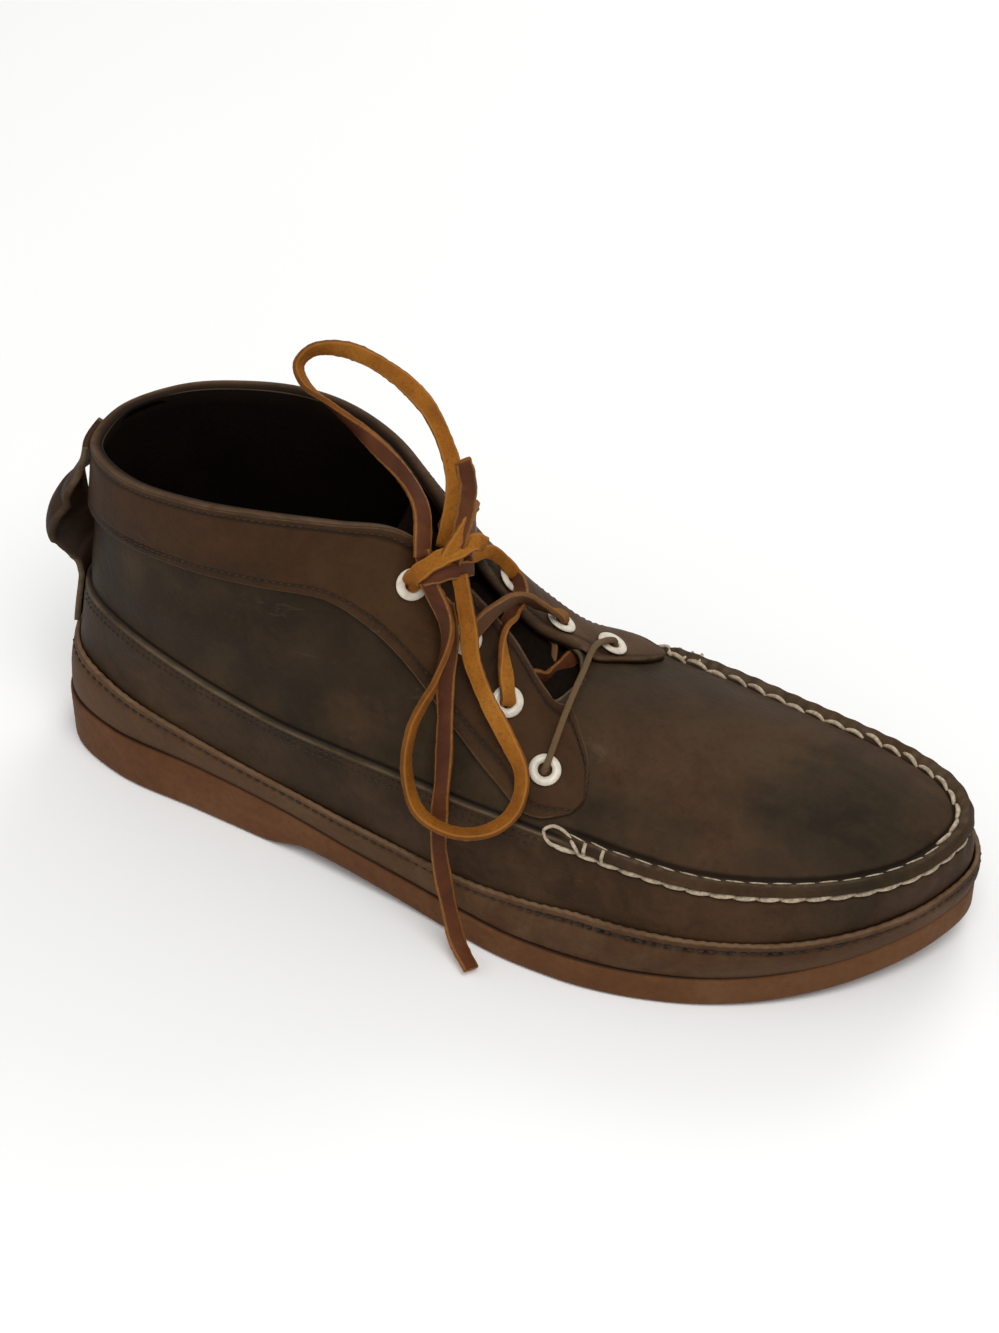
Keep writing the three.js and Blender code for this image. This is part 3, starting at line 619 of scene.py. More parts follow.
# The same route points as in the part's source.
LACE_ROUTES = {
    "lace_knot": [[128, -24, 110.8], [133, -18, 111.8], [139, -13.2, 108.3]],
    "lace_loop_upper": [
        [129.6, -20, 114], [126, -11.5, 123.5], [118, -4, 127], [104, 4, 130.5], [87, 14, 131],
        [77, 19, 132], [73.5, 22, 135.5], [77, 23, 141], [90, 19, 148], [107, 11, 151],
        [122, 2, 149.5], [131, -5, 143], [135.4, -9.5, 134], [133.5, -13.6, 114.1],
    ],
    "lace_loop_lower": [
        [132, -22, 108], [139.5, -26, 96], [139, -34, 83], [134.5, -41, 69], [134.7, -46, 56],
        [140.8, -51.5, 47.5], [152, -53, 45], [162.3, -51, 48], [167.6, -46, 53],
        [167, -38.5, 60], [160.6, -34, 68], [152.7, -29.5, 76.3], [147, -26.5, 87],
        [144.5, -23, 96], [140, -18, 109.5],
    ],
    "lace_end_long": [
        [136.5, -20, 99], [139.4, -24, 87.2], [140.3, -29.8, 79.7], [142.5, -35.8, 69.6],
        [144.5, -42.2, 58.6], [145.4, -47.6, 46.5], [146.4, -51, 34.3], [148.6, -54, 28],
        [152, -56.3, 14], [155, -58.5, 6], [161.5, -64, 2.8],
    ],
    "lace_end_short": [[137.6, -16.4, 112.4], [141, -16, 129.6], [142.4, -17, 141.3],
                       [141.4, -18, 150]],
}
# The way out of the boot's front and outer side that the lace's flat side is measured from.
OUTLOOK = np.array([0.29, -0.71, 0.64])
# How far each stretch is turned about its own line, in degrees, at shares of its length: at 0
# its napped flesh side faces OUTLOOK, at 180 its smooth grain side does.
LACE_TURNS = {
    "lace_loop_upper": [(0, 200), (0.12, 205), (0.26, 130), (0.40, 70), (0.60, 25), (0.80, -20),
                        (1, 15)],
    "lace_loop_lower": [(0, 190), (0.06, 215), (0.20, 290), (0.40, 305), (0.52, 300), (0.62, 320),
                        (0.78, 345), (1, 350)],
    "lace_end_long": [(0, 165), (0.4, 200), (1, 150)],
    "lace_end_short": [(0, 160), (1, 195)],
}
LACE_SECTION = 14


def flat_section(width, thick):
    """A rounded flat section: across and height at each corner, and how far out each lies."""
    angle = 2 * np.pi * (np.arange(LACE_SECTION) + 0.5) / LACE_SECTION
    across = np.sign(np.cos(angle)) * np.abs(np.cos(angle)) ** 0.45 * width / 2
    height = np.sign(np.sin(angle)) * np.abs(np.sin(angle)) ** 0.55 * thick / 2
    return across, height


def turned_frames(centre, turns):
    """The flat side's facing and the width's way at each point of a line."""
    along = unit(np.gradient(centre, axis=0))
    shares = np.linspace(0, 1, len(centre))
    angle = np.radians(np.interp(shares, *np.array(turns, float).T))[:, None]
    face = unit(OUTLOOK - along * (along @ OUTLOOK)[:, None])
    side = np.cross(along, face)
    return side * np.cos(angle) - face * np.sin(angle), face * np.cos(angle) + side * np.sin(angle)


def even_line(route, steps):
    """Points evenly spaced along the smooth curve through a route."""
    share = np.linspace(0, 1, 8 * steps)
    line = spline(route, share)
    lengths = np.r_[0, np.cumsum(np.linalg.norm(np.diff(line, axis=0), axis=1))]
    return spline(route, np.interp(np.linspace(0, lengths[-1], steps), lengths, share))


def ribbon_sections(route, turns, width, thick, steps, fray=0.0):
    """The section points of a flat strip along a smooth route, and what its material reads."""
    centre = even_line(route, steps)
    across, up = turned_frames(centre, turns)
    wide, high = flat_section(width, thick)
    jitter = random.normal(0, fray, (steps, LACE_SECTION))
    swell = 1 + 0.06 * np.sin(np.linspace(0, 1, steps) * 37)[:, None] + jitter
    points = (centre[:, None] + across[:, None] * (wide * swell)[..., None]
              + up[:, None] * (high * (1 + jitter))[..., None])
    side = np.where(np.abs(high) < 0.3 * thick, 0.55, 0.0)
    corner = (np.abs(wide) > 0.42 * width) & (side == 0)
    flesh = np.broadcast_to(np.where(high > 0.3 * thick, 1.0, side), (steps, LACE_SECTION))
    edge = np.broadcast_to(0.75 * corner, (steps, LACE_SECTION))
    return centre, points, flesh, edge


def curve_length(points):
    return float(np.sum(np.linalg.norm(np.diff(points, axis=0), axis=1)))


def add_cord(name):
    """One free stretch of the lace, built at its real length and width."""
    route = np.array(LACE_ROUTES[name], float)
    steps = max(12, int(curve_length(route) / 1.4))
    centre, points, flesh, edge = ribbon_sections(route, LACE_TURNS[name], LACE_WIDTH,
                                                  LACE_THICK, steps, 0.025)
    piece = join_tubes(name + "_strip", [points])
    mark(piece, flesh=flesh, edge=edge)
    dress(piece, LACE, "lace", name)
    return piece, to_frame(centre)


CORD_ENDS = {"lace_loop_upper": "knot", "lace_loop_lower": "knot", "lace_end_long": "bare",
             "lace_end_short": "bare"}
for cord_name, far_end in CORD_ENDS.items():
    strip, path = add_cord(cord_name)

# The upper.

PER_STATION = 20
COLUMNS = RING * PER_STATION
STITCH = 6.6


def seam_run():
    """Millimetres along the moccasin seam at each column, from the heel."""
    u = np.arange(COLUMNS + 1) / PER_STATION
    points = spline(SEAM, u / RING, True)
    return np.r_[0, np.cumsum(np.linalg.norm(np.diff(points, axis=0), axis=1))]


SEAM_RUN = seam_run()


def run_at(u):
    return np.interp(u % RING, np.arange(COLUMNS + 1) / PER_STATION, SEAM_RUN)


def u_at(run):
    return np.interp(run, SEAM_RUN, np.arange(COLUMNS + 1) / PER_STATION)


def seam_scale(u, side):
    """Millimetres to a unit of w beside the seam: side is -1 below it and 1 above it."""
    one = np.ones_like(u)
    span = skin_point(u, one * (1 + 0.2 * side)) - skin_point(u, one)
    return np.linalg.norm(span, axis=-1) / 0.2


def seam_distance(u, w):
    """Millimetres from the moccasin seam up or down the skin; positive on the plug's side."""
    return (w - 1) * np.where(w < 1, seam_scale(u, -1), seam_scale(u, 1))


def seam_w(u, away):
    """The w that lies some millimetres from the seam at u."""
    return 1 + away / seam_scale(u, -1 if away < 0 else 1)


# Creases and hollows in the leather: u and w of both ends, half width and depth in millimetres.
CREASES = [
    # u0, w0, u1, w1, half width, depth
    [9.7, 0.94, 11.2, 0.62, 5.0, -0.8],
    [10.6, 0.92, 12.1, 0.66, 4.5, -0.6],
    [22.4, 0.94, 21.0, 0.60, 5.0, -0.9],
    [21.4, 0.92, 20.2, 0.62, 4.5, -0.7],
    [10.4, 1.22, 11.6, 1.95, 6.0, -0.8],
    [11.4, 1.20, 12.2, 1.85, 6.0, 0.6],
    [21.6, 1.22, 20.6, 1.90, 6.0, -0.7],
    [3.2, 1.12, 5.4, 1.30, 7.0, -1.0],
    [2.0, 1.20, 4.2, 1.42, 7.0, 0.8],
    [5.0, 1.08, 7.4, 1.14, 5.0, -0.7],
    [1.4, 0.55, 4.6, 0.66, 7.0, -0.6],
    [5.0, 0.62, 8.0, 0.56, 7.0, 0.5],
    [28.5, 1.14, 26.2, 1.34, 7.0, -1.0],
    [30.2, 1.22, 27.8, 1.44, 7.0, 0.8],
]


def creases(u, w, points):
    """The soft troughs and ridges at a grid of skin points, in millimetres."""
    total = np.zeros(points.shape[:-1])
    for u0, w0, u1, w1, half, depth in CREASES:
        line = skin_point(np.linspace(u0, u1, 9), np.linspace(w0, w1, 9))
        best = np.full(total.shape, 1e9)
        share = np.zeros(total.shape)
        for k in range(8):
            a, b = line[k], line[k + 1]
            t = np.clip(((points - a) @ (b - a)) / ((b - a) @ (b - a)), 0, 1)
            away = np.linalg.norm(points - a - t[..., None] * (b - a), axis=-1)
            share = np.where(away < best, (k + t) / 8, share)
            best = np.minimum(best, away)
        fade = np.sin(np.pi * np.clip(share, 0.02, 0.98)) ** 0.6
        total += depth * fade * bell(best, 0, half)
    return total


def wobble(points, scale, seed):
    """A smooth unevenness from a few crossed waves, between about -1 and 1."""
    waves = np.random.default_rng(seed)
    total = np.zeros(points.shape[:-1])
    for _ in range(7):
        way = unit(waves.normal(size=3)) / scale
        total += np.sin(points @ way * 2 * np.pi + waves.uniform(0, 6.28))
    return total / 4.0


# Broad tones of the upper's leather: u, w, radius in millimetres, how red and how light, each from
# -1 to 1.
TONES = [
    [19.0, 1.35, 26, 0.60, 0.45],
    [13.6, 1.75, 20, -0.6, -0.70],
    [10.7, 1.66, 17, 0.75, 0.20],
    [11.8, 1.62, 16, 0.65, 0.10],
    # Painted shadow where the facing's tab shades the plug.
    [10.3, 1.20, 8, 0.0, -0.80],
    [14.4, 1.30, 14, 0.0, -0.50],
    [20.6, 1.60, 16, 0.20, 0.10],
    [4.0, 1.50, 30, -0.5, -0.85],
    [1.2, 1.40, 18, -0.3, -0.55],
    [6.6, 1.30, 12, -0.3, -0.55],
    [5.2, 1.20, 13, 0.75, 0.30],
    [2.1, 1.48, 8, 0.0, 0.60],
    [1.3, 1.20, 12, 0.0, -0.25],
    [12.3, 0.66, 26, 0.95, 0.10],
    [9.4, 0.60, 18, 0.60, -0.30],
    [6.8, 0.62, 16, 0.70, -0.10],
    [4.6, 0.70, 12, 0.20, -0.35],
    [2.6, 0.50, 12, 0.70, 0.30],
    [15.2, 0.70, 16, 0.75, -0.15],
    [13.6, 0.75, 6, 0.0, -0.50],
    [18.5, 0.60, 22, 0.60, 0.0],
    [23.5, 0.60, 26, 0.50, 0.10],
    [28.0, 1.40, 24, -0.3, -0.30],
    [29.5, 0.60, 24, 0.60, 0.10],
]


def tones(points):
    """How red and how light the leather is at each skin point: tones, and one painted shadow."""
    red, light = np.zeros(points.shape[:-1]), np.zeros(points.shape[:-1])
    ragged = 1 + 0.28 * wobble(points, 16, 41)
    for u, w, radius, redder, lighter in TONES:
        middle = skin_point(np.array(u), np.array(w))
        near = bell(np.linalg.norm(points - middle, axis=-1) * ragged, 0, radius)
        red, light = red + redder * near, light + lighter * near
    return np.clip(red, -1, 1), np.clip(light, -1, 1)


# The relief along the moccasin seam in millimetres: how far each stitch pulls the ridge in, the
# grooves at its outer and inner foot, the puckers beyond them and the leather's own unevenness.
STITCH_PULL = 0.14
OUTER_GROOVE = 0.45
INNER_GROOVE = 0.55
OUTER_PUCKER = 0.34
INNER_PUCKER = 0.20
UNEVEN = 0.34


def upper_relief(u, w, points):
    """How far the upper's outside stands off the skin, in millimetres."""
    away = seam_distance(u, w)
    front = ridge_share(u)
    stitch = np.cos(run_at(u) / STITCH * 2 * np.pi)
    step = WALL_STEP * (1 - smooth(-0.55, 0.15, away))
    step += 0.25 * bell(away, -1.1, 0.7)
    bulge = 0.5 * (1 + np.cos(np.clip((away - 0.2) / 2.4, -1, 1) * np.pi)) ** 0.35
    pinch = (RIDGE + STITCH_PULL * stitch) * smooth(-2.7, -1.3, away) * (1 - smooth(0.9, 2.0, away))
    ridge = np.maximum(WALL_STEP * (1 - smooth(-1.2, 0.6, away)), pinch * (0.9 + 0.1 * bulge))
    ridge -= OUTER_GROOVE * bell(away, -3.1, 0.5) * (0.7 + 0.3 * stitch)
    ridge -= INNER_GROOVE * bell(away, 2.8, 0.7)
    pucker = OUTER_PUCKER * stitch * bell(away, -5.6, 2.4)
    pucker += INNER_PUCKER * stitch * bell(away, 6.2, 2.4)
    relief = (1 - front) * step + front * (ridge + pucker)
    relief += creases(u, w, points)
    calm = smooth(0.02, 0.2, w) * (1 - smooth(1.9, 2.0, w) * (1 - is_plug(u)))
    relief += UNEVEN * calm * wobble(points, 34, 3) * (1 - bell(away, 0, 5))
    return relief


# Where the rows of the upper's outside lie, as the first w, the last w and a count. They are
# closest at the moccasin seam.
OUTSIDE_ROWS = [(0, 0.78, 13), (0.80, 0.90, 8), (0.905, 1.0, 17), (1.005, 1.12, 22),
                (1.13, 1.25, 8), (1.28, 1.94, 22), (1.97, 2.0, 2)]
INSIDE_ROWS = 22
WELD = 0.02


def upper_faces(rows):
    """The outside's and the inside's quads, then the strips that close the sole edge and rim."""
    shift = rows * COLUMNS
    faces = grid_faces(rows, COLUMNS, ring=True)
    faces += grid_faces(INSIDE_ROWS, COLUMNS, shift, ring=True, flip=True)
    plug_first = PLUG_START * PER_STATION
    a, b = (rows - 1) * COLUMNS, shift + (INSIDE_ROWS - 1) * COLUMNS
    for c in range(COLUMNS):
        d = (c + 1) % COLUMNS
        faces.append((c, shift + c, shift + d, d))
        if c < plug_first or c >= COLUMNS - plug_first:
            faces.append((a + c, a + d, b + d, b + c))
    return faces


def upper_marks(u, w, skin):
    """What the leather reads at each outside point: pale edges, painted shade in the grooves and
    along the counter's edge, and tones.
    """
    away, front = seam_distance(u, w), ridge_share(u)
    bits = np.clip(0.5 + 0.5 * wobble(skin, 3.0, 17), 0, 1)
    # Pale edges: the counter's top edge, partly worn and partly a painted highlight, and a ragged
    # pale line of thread on the ridge's near side.
    edge = (1 - front) * bell(away, -0.5, 0.40) * 0.9 + front * 0.85 * bell(away, 1.35, 0.40) * bits
    rim = smooth(1.985, 2.0, w) * (1 - is_plug(u))
    # Painted shade along the counter's edge and in the grooves at both feet of the moccasin ridge.
    dark = (1 - front) * 0.95 * bell(away, 0.55, 0.65)
    dark = dark + front * (0.80 * bell(away, 2.7, 0.9) + 0.60 * bell(away, -3.2, 0.55))
    red, light = tones(skin)
    red = np.clip(red + 0.35 * (1 - smooth(0.93, 1.02, w)), -1, 1)
    return {"edge": np.clip(edge + rim, 0, 1), "dark": np.clip(dark, 0, 1), "red": red,
            "light": light}


def weld_plug(piece):
    """Joins the two halves of the plug along their shared middle line."""
    grid = bmesh.new()
    grid.from_mesh(piece.data)
    bmesh.ops.remove_doubles(grid, verts=grid.verts, dist=WELD * MM)
    grid.to_mesh(piece.data)
    grid.free()


def add_upper():
    rows = np.unique(np.round(np.concatenate([np.linspace(*band) for band in OUTSIDE_ROWS]), 5))
    u, w = np.meshgrid(np.arange(COLUMNS) / PER_STATION, rows)
    skin = skin_point(u, w)
    outer = lifted(u, w, upper_relief(u, w, skin))
    inner_u, inner_w = np.meshgrid(u[0], np.linspace(0, 2, INSIDE_ROWS))
    inner = lifted(inner_u, inner_w, -SKIN)
    piece = make_mesh("boot_upper", np.concatenate([outer, inner]), upper_faces(len(rows)))
    mark(piece, **upper_marks(u, w, skin))
    dress(piece, UPPER_LEATHER, "upper", "upper")
    piece.data.materials.append(LINING)
    lining = np.zeros(len(piece.data.polygons), int)
    outside = (len(rows) - 1) * COLUMNS
    lining[outside:outside + (INSIDE_ROWS - 1) * COLUMNS] = 1
    piece.data.polygons.foreach_set("material_index", lining)
    weld_plug(piece)


add_upper()

# Rand, sole and bed.


def rand_top(u):
    n = from_heel(u)
    return 0.48 - 0.18 * smooth(0.5, 4, n) + 0.15 * smooth(6, 11, n)


def add_rand():
    u = np.arange(COLUMNS) / PER_STATION
    inside = WALL_STEP + GAP
    # share of the rand's height, share of its thickness
    profile = [(0.0, 0.80), (0.06, 0.92), (0.2, 1.0), (0.45, 1.0), (0.62, 0.93), (0.74, 0.84),
               (0.80, 0.62), (0.85, 0.60), (0.90, 0.72), (0.955, 0.66), (0.985, 0.45), (1.0, 0.2),
               (0.985, 0.0), (0.8, 0.0), (0.5, 0.0), (0.2, 0.0), (0.0, 0.0)]
    top = rand_top(u)
    section = []
    for height, thick in profile:
        rag = 1.0 + 0.012 * np.sin(run_at(u) * 1.9) * (height > 0.95)
        lift = inside + RAND * thick
        outward = wobble(skin_point(u, top * height), 26, 8) * 0.18 * (thick > 0)
        section.append(lifted(u, top * height * rag, lift + outward))
    piece = ring_tube("boot_rand", np.stack(section, 1))
    # The top lip's pale edge is partly worn and partly a painted highlight.
    edge = np.array([0.8 if 0.98 < h and t > 0.1 else 0.0 for h, t in profile])
    # Painted shade in the stitch groove under the lip and at the foot where the rand meets the
    # sole, ragged and stronger towards the toe where the rand is frayed.
    dark = np.array([0.75 if 0.78 < h < 0.88 and t > 0.1 else 0.0 for h, t in profile])
    dark[0] = 0.9
    shade_and_fray = 0.25 + 0.75 * smooth(8, 10.5, from_heel(u))[:, None]
    ragged = np.clip(0.75 + 0.6 * np.random.default_rng(5).normal(size=(COLUMNS, 1)), 0.2, 1.3)
    paler = 0.45 - 0.60 * smooth(4, 10, from_heel(u))[:, None]
    every = np.ones((COLUMNS, len(profile)))
    mark(piece, edge=edge * every, dark=np.clip(dark * shade_and_fray * ragged, 0, 1), light=paler * every)
    dress(piece, RAND_LEATHER, "rand", "rand")


add_rand()


def slab(name, rows):
    """A closed body inside the sole's outline: rows are inset and a height function."""
    u = np.arange(COLUMNS) / PER_STATION
    layers = []
    for inset, height in rows:
        point = plan_point(u, inset + 0 * u)
        point[:, 2] = height(point[:, 0])
        layers.append(point)
    faces = grid_faces(len(rows), COLUMNS, ring=True)
    last = (len(rows) - 1) * COLUMNS
    for c in range(COLUMNS // 2):
        a, b, d, e = c, c + 1, (COLUMNS - c) % COLUMNS, COLUMNS - c - 1
        for low in ((a, e, b), (a, d, e)):
            if len(set(low)) == 3:
                faces.append(low)
        if b != e:
            faces.append((last + a, last + b, last + e))
        if a != d:
            faces.append((last + a, last + e, last + d))
    return make_mesh(name, np.concatenate(layers), faces)


def add_outsole():
    # inset and height of the rounded lower edge
    foot = [(2.4, 0.0), (1.6, 0.0), (0.7, 0.25), (0.15, 0.9), (0.0, 1.8)]
    rows = [(inset, lambda x, up=up: sole_bottom(x) + up) for inset, up in foot]
    for share in (0.25, 0.45, 0.65, 0.82):
        rows.append((0.0, lambda x, s=share: sole_bottom(x)
                     + 1.8 + (sole_top(x) - 1.2 - sole_bottom(x) - 1.8) * s))
    rows += [(0.0, lambda x: sole_top(x) - 1.3), (0.25, lambda x: sole_top(x) - 0.5),
             (0.8, lambda x: sole_top(x) - 0.08), (1.6, sole_top), (3.2, sole_top)]
    piece = slab("boot_outsole", rows)
    edge = np.zeros((len(rows), COLUMNS))
    edge[1:4] = 0.25
    # Painted shade along the top rows, where the rand meets the sole.
    dark = np.zeros((len(rows), COLUMNS))
    dark[-3:] = 0.85
    mark(piece, edge=edge, dark=dark)
    dress(piece, SOLE_RUBBER, "outsole", "outsole")


def add_insole():
    inset = BASE_INSET + SKIN + 1.2
    edge = [(0, 0), (0, 2.2), (0.4, 2.8), (1.2, 3.0)]
    piece = slab("boot_insole", [(inset + more, lambda x, up=up: sole_top(x) + GAP + up)
                                 for more, up in edge])
    dress(piece, BED_LEATHER, "insole", "insole")


add_outsole()
add_insole()

# Collar band and facings.

BAND = np.array([
    [0.00, 1.56, 0.00, 2.00],
    [1.00, 1.58, 1.00, 2.00],
    [2.00, 1.60, 2.00, 2.00],
    [3.00, 1.64, 3.00, 2.00],
    [4.00, 1.68, 4.00, 2.00],
    [4.90, 1.68, 5.00, 2.00],
    [5.45, 1.60, 5.60, 2.00],
    [5.95, 1.50, 6.00, 2.00],
    [6.50, 1.38, 6.80, 2.00],
    [7.10, 1.26, 7.80, 2.00],
    [7.70, 1.16, 8.80, 2.00],
    [8.40, 1.08, 9.50, 1.88],
    [9.10, 1.08, 9.90, 1.66],
    [9.55, 1.11, 10.15, 1.44],
    [9.90, 1.14, 10.15, 1.24],
    [10.05, 1.175, 10.11, 1.20],
])


# Rough millimetres to a unit of u and of w, so that the band's edges bend evenly.
BAND_SCALE = np.array([18.0, 50.0, 18.0, 50.0])


def band_lines(steps=14):
    """The band's lower and upper edges on the skin, from the inner tab round to the outer."""
    last = len(BAND) - 1
    half = spline(BAND * BAND_SCALE, np.linspace(0, 1, last * steps + 1)) / BAND_SCALE
    half[0] = BAND[0]
    return np.vstack([half[1:][::-1] * [-1, 1, -1, 1], half])


def band_point(lines, t, lift):
    """Points across the band: t is 0 at the lower edge and 1 at the upper one."""
    t = np.asarray(t, float)[None, :]
    u = lines[:, None, 0] * (1 - t) + lines[:, None, 2] * t
    w = lines[:, None, 1] * (1 - t) + lines[:, None, 3] * t
    return u, w, lifted(u, w, lift)


# The hem that folds over the rim, row by row: millimetres inwards and up, how pale (a worn edge and
# a painted highlight at its crest) and how much painted shade as it turns into the boot.
HEM = np.array([
    [0.35, 0.30, 0.75, 0.00],
    [1.30, 0.62, 0.45, 0.00],
    [2.60, 0.55, 0.00, 0.55],
    [3.50, 0.10, 0.00, 0.85],
    [3.70, -2.20, 0.00, 0.95],
])
# Where the stitch rows run, as shares of the way from the band's lower edge to its upper one.
BAND_ROWS = (0.93, 0.075, 0.125)
# The strength of the painted sheen highlight on the far facing, in the pale edge colour, and how
# far the band's underside stands off the upper.
FAR_SHEEN = 0.40
BAND_UNDERSIDE = 0.25


def add_facing():
    """The collar band and the facings, whose upper edge is folded over the upper's rim."""
    lines = band_lines()
    t = np.concatenate([[0, 0.008, 0.025, 0.05], np.linspace(0.09, 0.91, 22),
                        [0.95, 0.975, 0.992, 1.0]])
    edge_fall = np.minimum(t, 1 - t) / 0.025
    profile = np.sqrt(np.clip(1 - (1 - np.clip(edge_fall, 0, 1)) ** 2, 0, 1)) * 0.75 + 0.25
    u, w, skin = band_point(lines, t, 0.0)
    soft = 0.26 * wobble(skin, 22, 21)
    tab = smooth(0, 10, np.arange(len(lines)))[:, None]
    tab = tab * tab[::-1]
    fold = smooth(1.97, 2.0, lines[:, 3])[:, None] * (t > 0.9)
    lift = FACING_LIFT + (FACING + soft) * np.maximum(profile[None, :], fold)
    stitch = bell(t, 0.91, 0.010) + bell(t, 0.075, 0.012) + bell(t, 0.125, 0.012)
    outer = lifted(u, w, (lift - 0.30 * stitch[None, :]) * (0.6 + 0.4 * tab))
    rim, rim_normal = outer[:, -1], skin_normal(u[:, -1], w[:, -1])
    crown = unit(skin[:, -1] - skin[:, -3])
    away = fold[:, -1:]
    hem = [rim - rim_normal * across * away + crown * height * away for across, height, _, _ in HEM]
    outer = np.concatenate([outer, np.stack(hem, 1)], 1)
    inner_w = np.concatenate([w, np.repeat(w[:, -1:], len(hem), 1)], 1)
    inner_u = np.concatenate([u, np.repeat(u[:, -1:], len(hem), 1)], 1)
    inner = lifted(inner_u, inner_w, BAND_UNDERSIDE)
    piece = double_sheet("boot_collar_facing", outer, inner)
    ones = np.ones((len(lines), 1))
    edge = np.where(np.minimum(t, 1 - t) < 0.01, 0.9, 0.0)[None, :] * ones
    edge[:, -1:] *= 1 - away
    # Painted sheen highlight on the far facing.
    far = smooth(21.5, 22.6, u % RING) * (1 - smooth(25.6, 26.6, u % RING)) * FAR_SHEEN
    # Pale marks: worn cut edges, the far facing's painted sheen and the hem's crest, which is
    # partly a painted highlight.
    wear = np.concatenate([np.maximum(edge, far), HEM[:, 2] * away], 1)
    # Painted shade in the stitch channels, on the hem's inner rows and on the band's underside.
    dark = np.concatenate([0.6 * stitch[None, :] * ones, HEM[:, 3] * away], 1)
    mark(piece, edge=wear, dark=np.r_[dark, np.full(dark.shape, 0.6)])
    dress(piece, BAND_LEATHER, "collar_facing", "collar_facing")
    return lines


band_edges = add_facing()

# Tongue, heel strip, eyelets.

# x as a share of LENGTH, z of COLLAR, then half width and drop in millimetres.
TONGUE = np.array([
    [0.393, 0.875, 18, 5.0],
    [0.443, 0.762, 19.5, 5.5],
    [0.500, 0.627, 23, 6.0],
    [0.552, 0.532, 25, 6.0],
    [0.602, 0.491, 25, 6.0],
    [0.660, 0.467, 25, 5.5],
])
TONGUE_THICK = 2.0


def add_tongue():
    steps, across = 60, 33
    share = np.linspace(0, 1, steps)
    line = np.stack([TONGUE[:, 0] * LENGTH, 0 * TONGUE[:, 0], TONGUE[:, 1] * COLLAR], -1)
    centre = spline(line, share)
    along = unit(np.gradient(centre, axis=0))
    up = np.stack([-along[:, 2], 0 * share, along[:, 0]], -1)
    at = np.linspace(0, 1, len(TONGUE))
    width, drop = (np.interp(share, at, TONGUE[:, k]) for k in (2, 3))
    side = np.linspace(1, -1, across)
    rolls = 0.5 * np.sin(share * 16)[:, None] * np.cos(side * 2)[None, :]
    depth = drop[:, None] * side ** 2 - rolls

    def layer(down):
        points = centre[:, None] - up[:, None] * (depth + down)[..., None]
        points[..., 1] += side * width[:, None]
        return points

    piece = double_sheet("boot_tongue", layer(0), layer(TONGUE_THICK))
    dress(piece, TONGUE_LEATHER, "tongue", "tongue")


add_tongue()

# w on the skin and the gap behind the strip, from the rim down.
BACKSTAY = np.array([
    [1.985, 2.6],
    [1.90, 3.0],
    [1.78, 4.4],
    [1.66, 7.2],
    [1.55, 10.4],
    [1.44, 12.8],
    [1.33, 13.0],
    [1.23, 10.0],
    [1.14, 5.6],
    [1.05, 2.6],
    [0.90, 1.9],
    [0.54, 1.9],
])
BACKSTAY_HALF = 0.52
STRAP = 1.8


def add_backstay():
    steps, across = 120, 25
    line = spline(np.c_[BACKSTAY, 0 * BACKSTAY[:, 0]], np.linspace(0, 1, steps))
    side = np.linspace(1, -1, across)
    u = BACKSTAY_HALF * side[None, :] + 0 * line[:, :1]
    w = line[:, :1] + 0 * u
    loose = smooth(2.8, 8, line[:, 1])[:, None]
    fold = np.sin(line[:, :1] * 15 + side * 1.6) * loose
    fold = fold - 2.4 * loose * bell(line[:, :1], 1.52, 0.06) * (side + 0.4)
    pinch = 1 - 0.16 * loose * np.abs(side)[None, :] ** 2
    lift = line[:, 1:2] * pinch + fold * 0.6
    outer = lifted(u, w, lift + STRAP)
    inner = lifted(u, w, lift)
    piece = double_sheet("boot_backstay_pull_loop", outer, inner)
    rim = (np.abs(side) > 0.9)[None, :] * np.ones((steps, 1))
    worn = (rim * (1 - 0.75 * loose)).ravel()
    shade = np.broadcast_to(-0.9 * loose, (steps, across)).ravel()
    mark(piece, edge=np.r_[worn, worn], light=np.r_[shade, shade])
    dress(piece, BAND_LEATHER, "collar_facing", "backstay_pull_loop")


add_backstay()

# u and w of each eyelet on the outer and on the inner side, from the collar down.
EYELETS = [
    [6.12, 1.82, 25.70, 1.86],
    [7.00, 1.75, 24.85, 1.87],
    [7.94, 1.60, 23.80, 1.83],
    [9.07, 1.41, 22.60, 1.66],
]
EYELET_HOLE = 2.4
EYELET_BARREL = 2.9
EYELET_FLANGE = 4.7
FLANGE_LIFT = 0.9
FLANGE_THICK = 0.9
LATHE_STEPS = 40


def seat_frame(u, w):
    """The centre and the three directions of an eyelet's seat."""
    normal = skin_normal(u, w)
    side = unit(np.cross(normal, [0.0, 0.0, 1.0]))
    return lifted(u, w, FACING_LIFT + FACING), side, np.cross(side, normal), normal


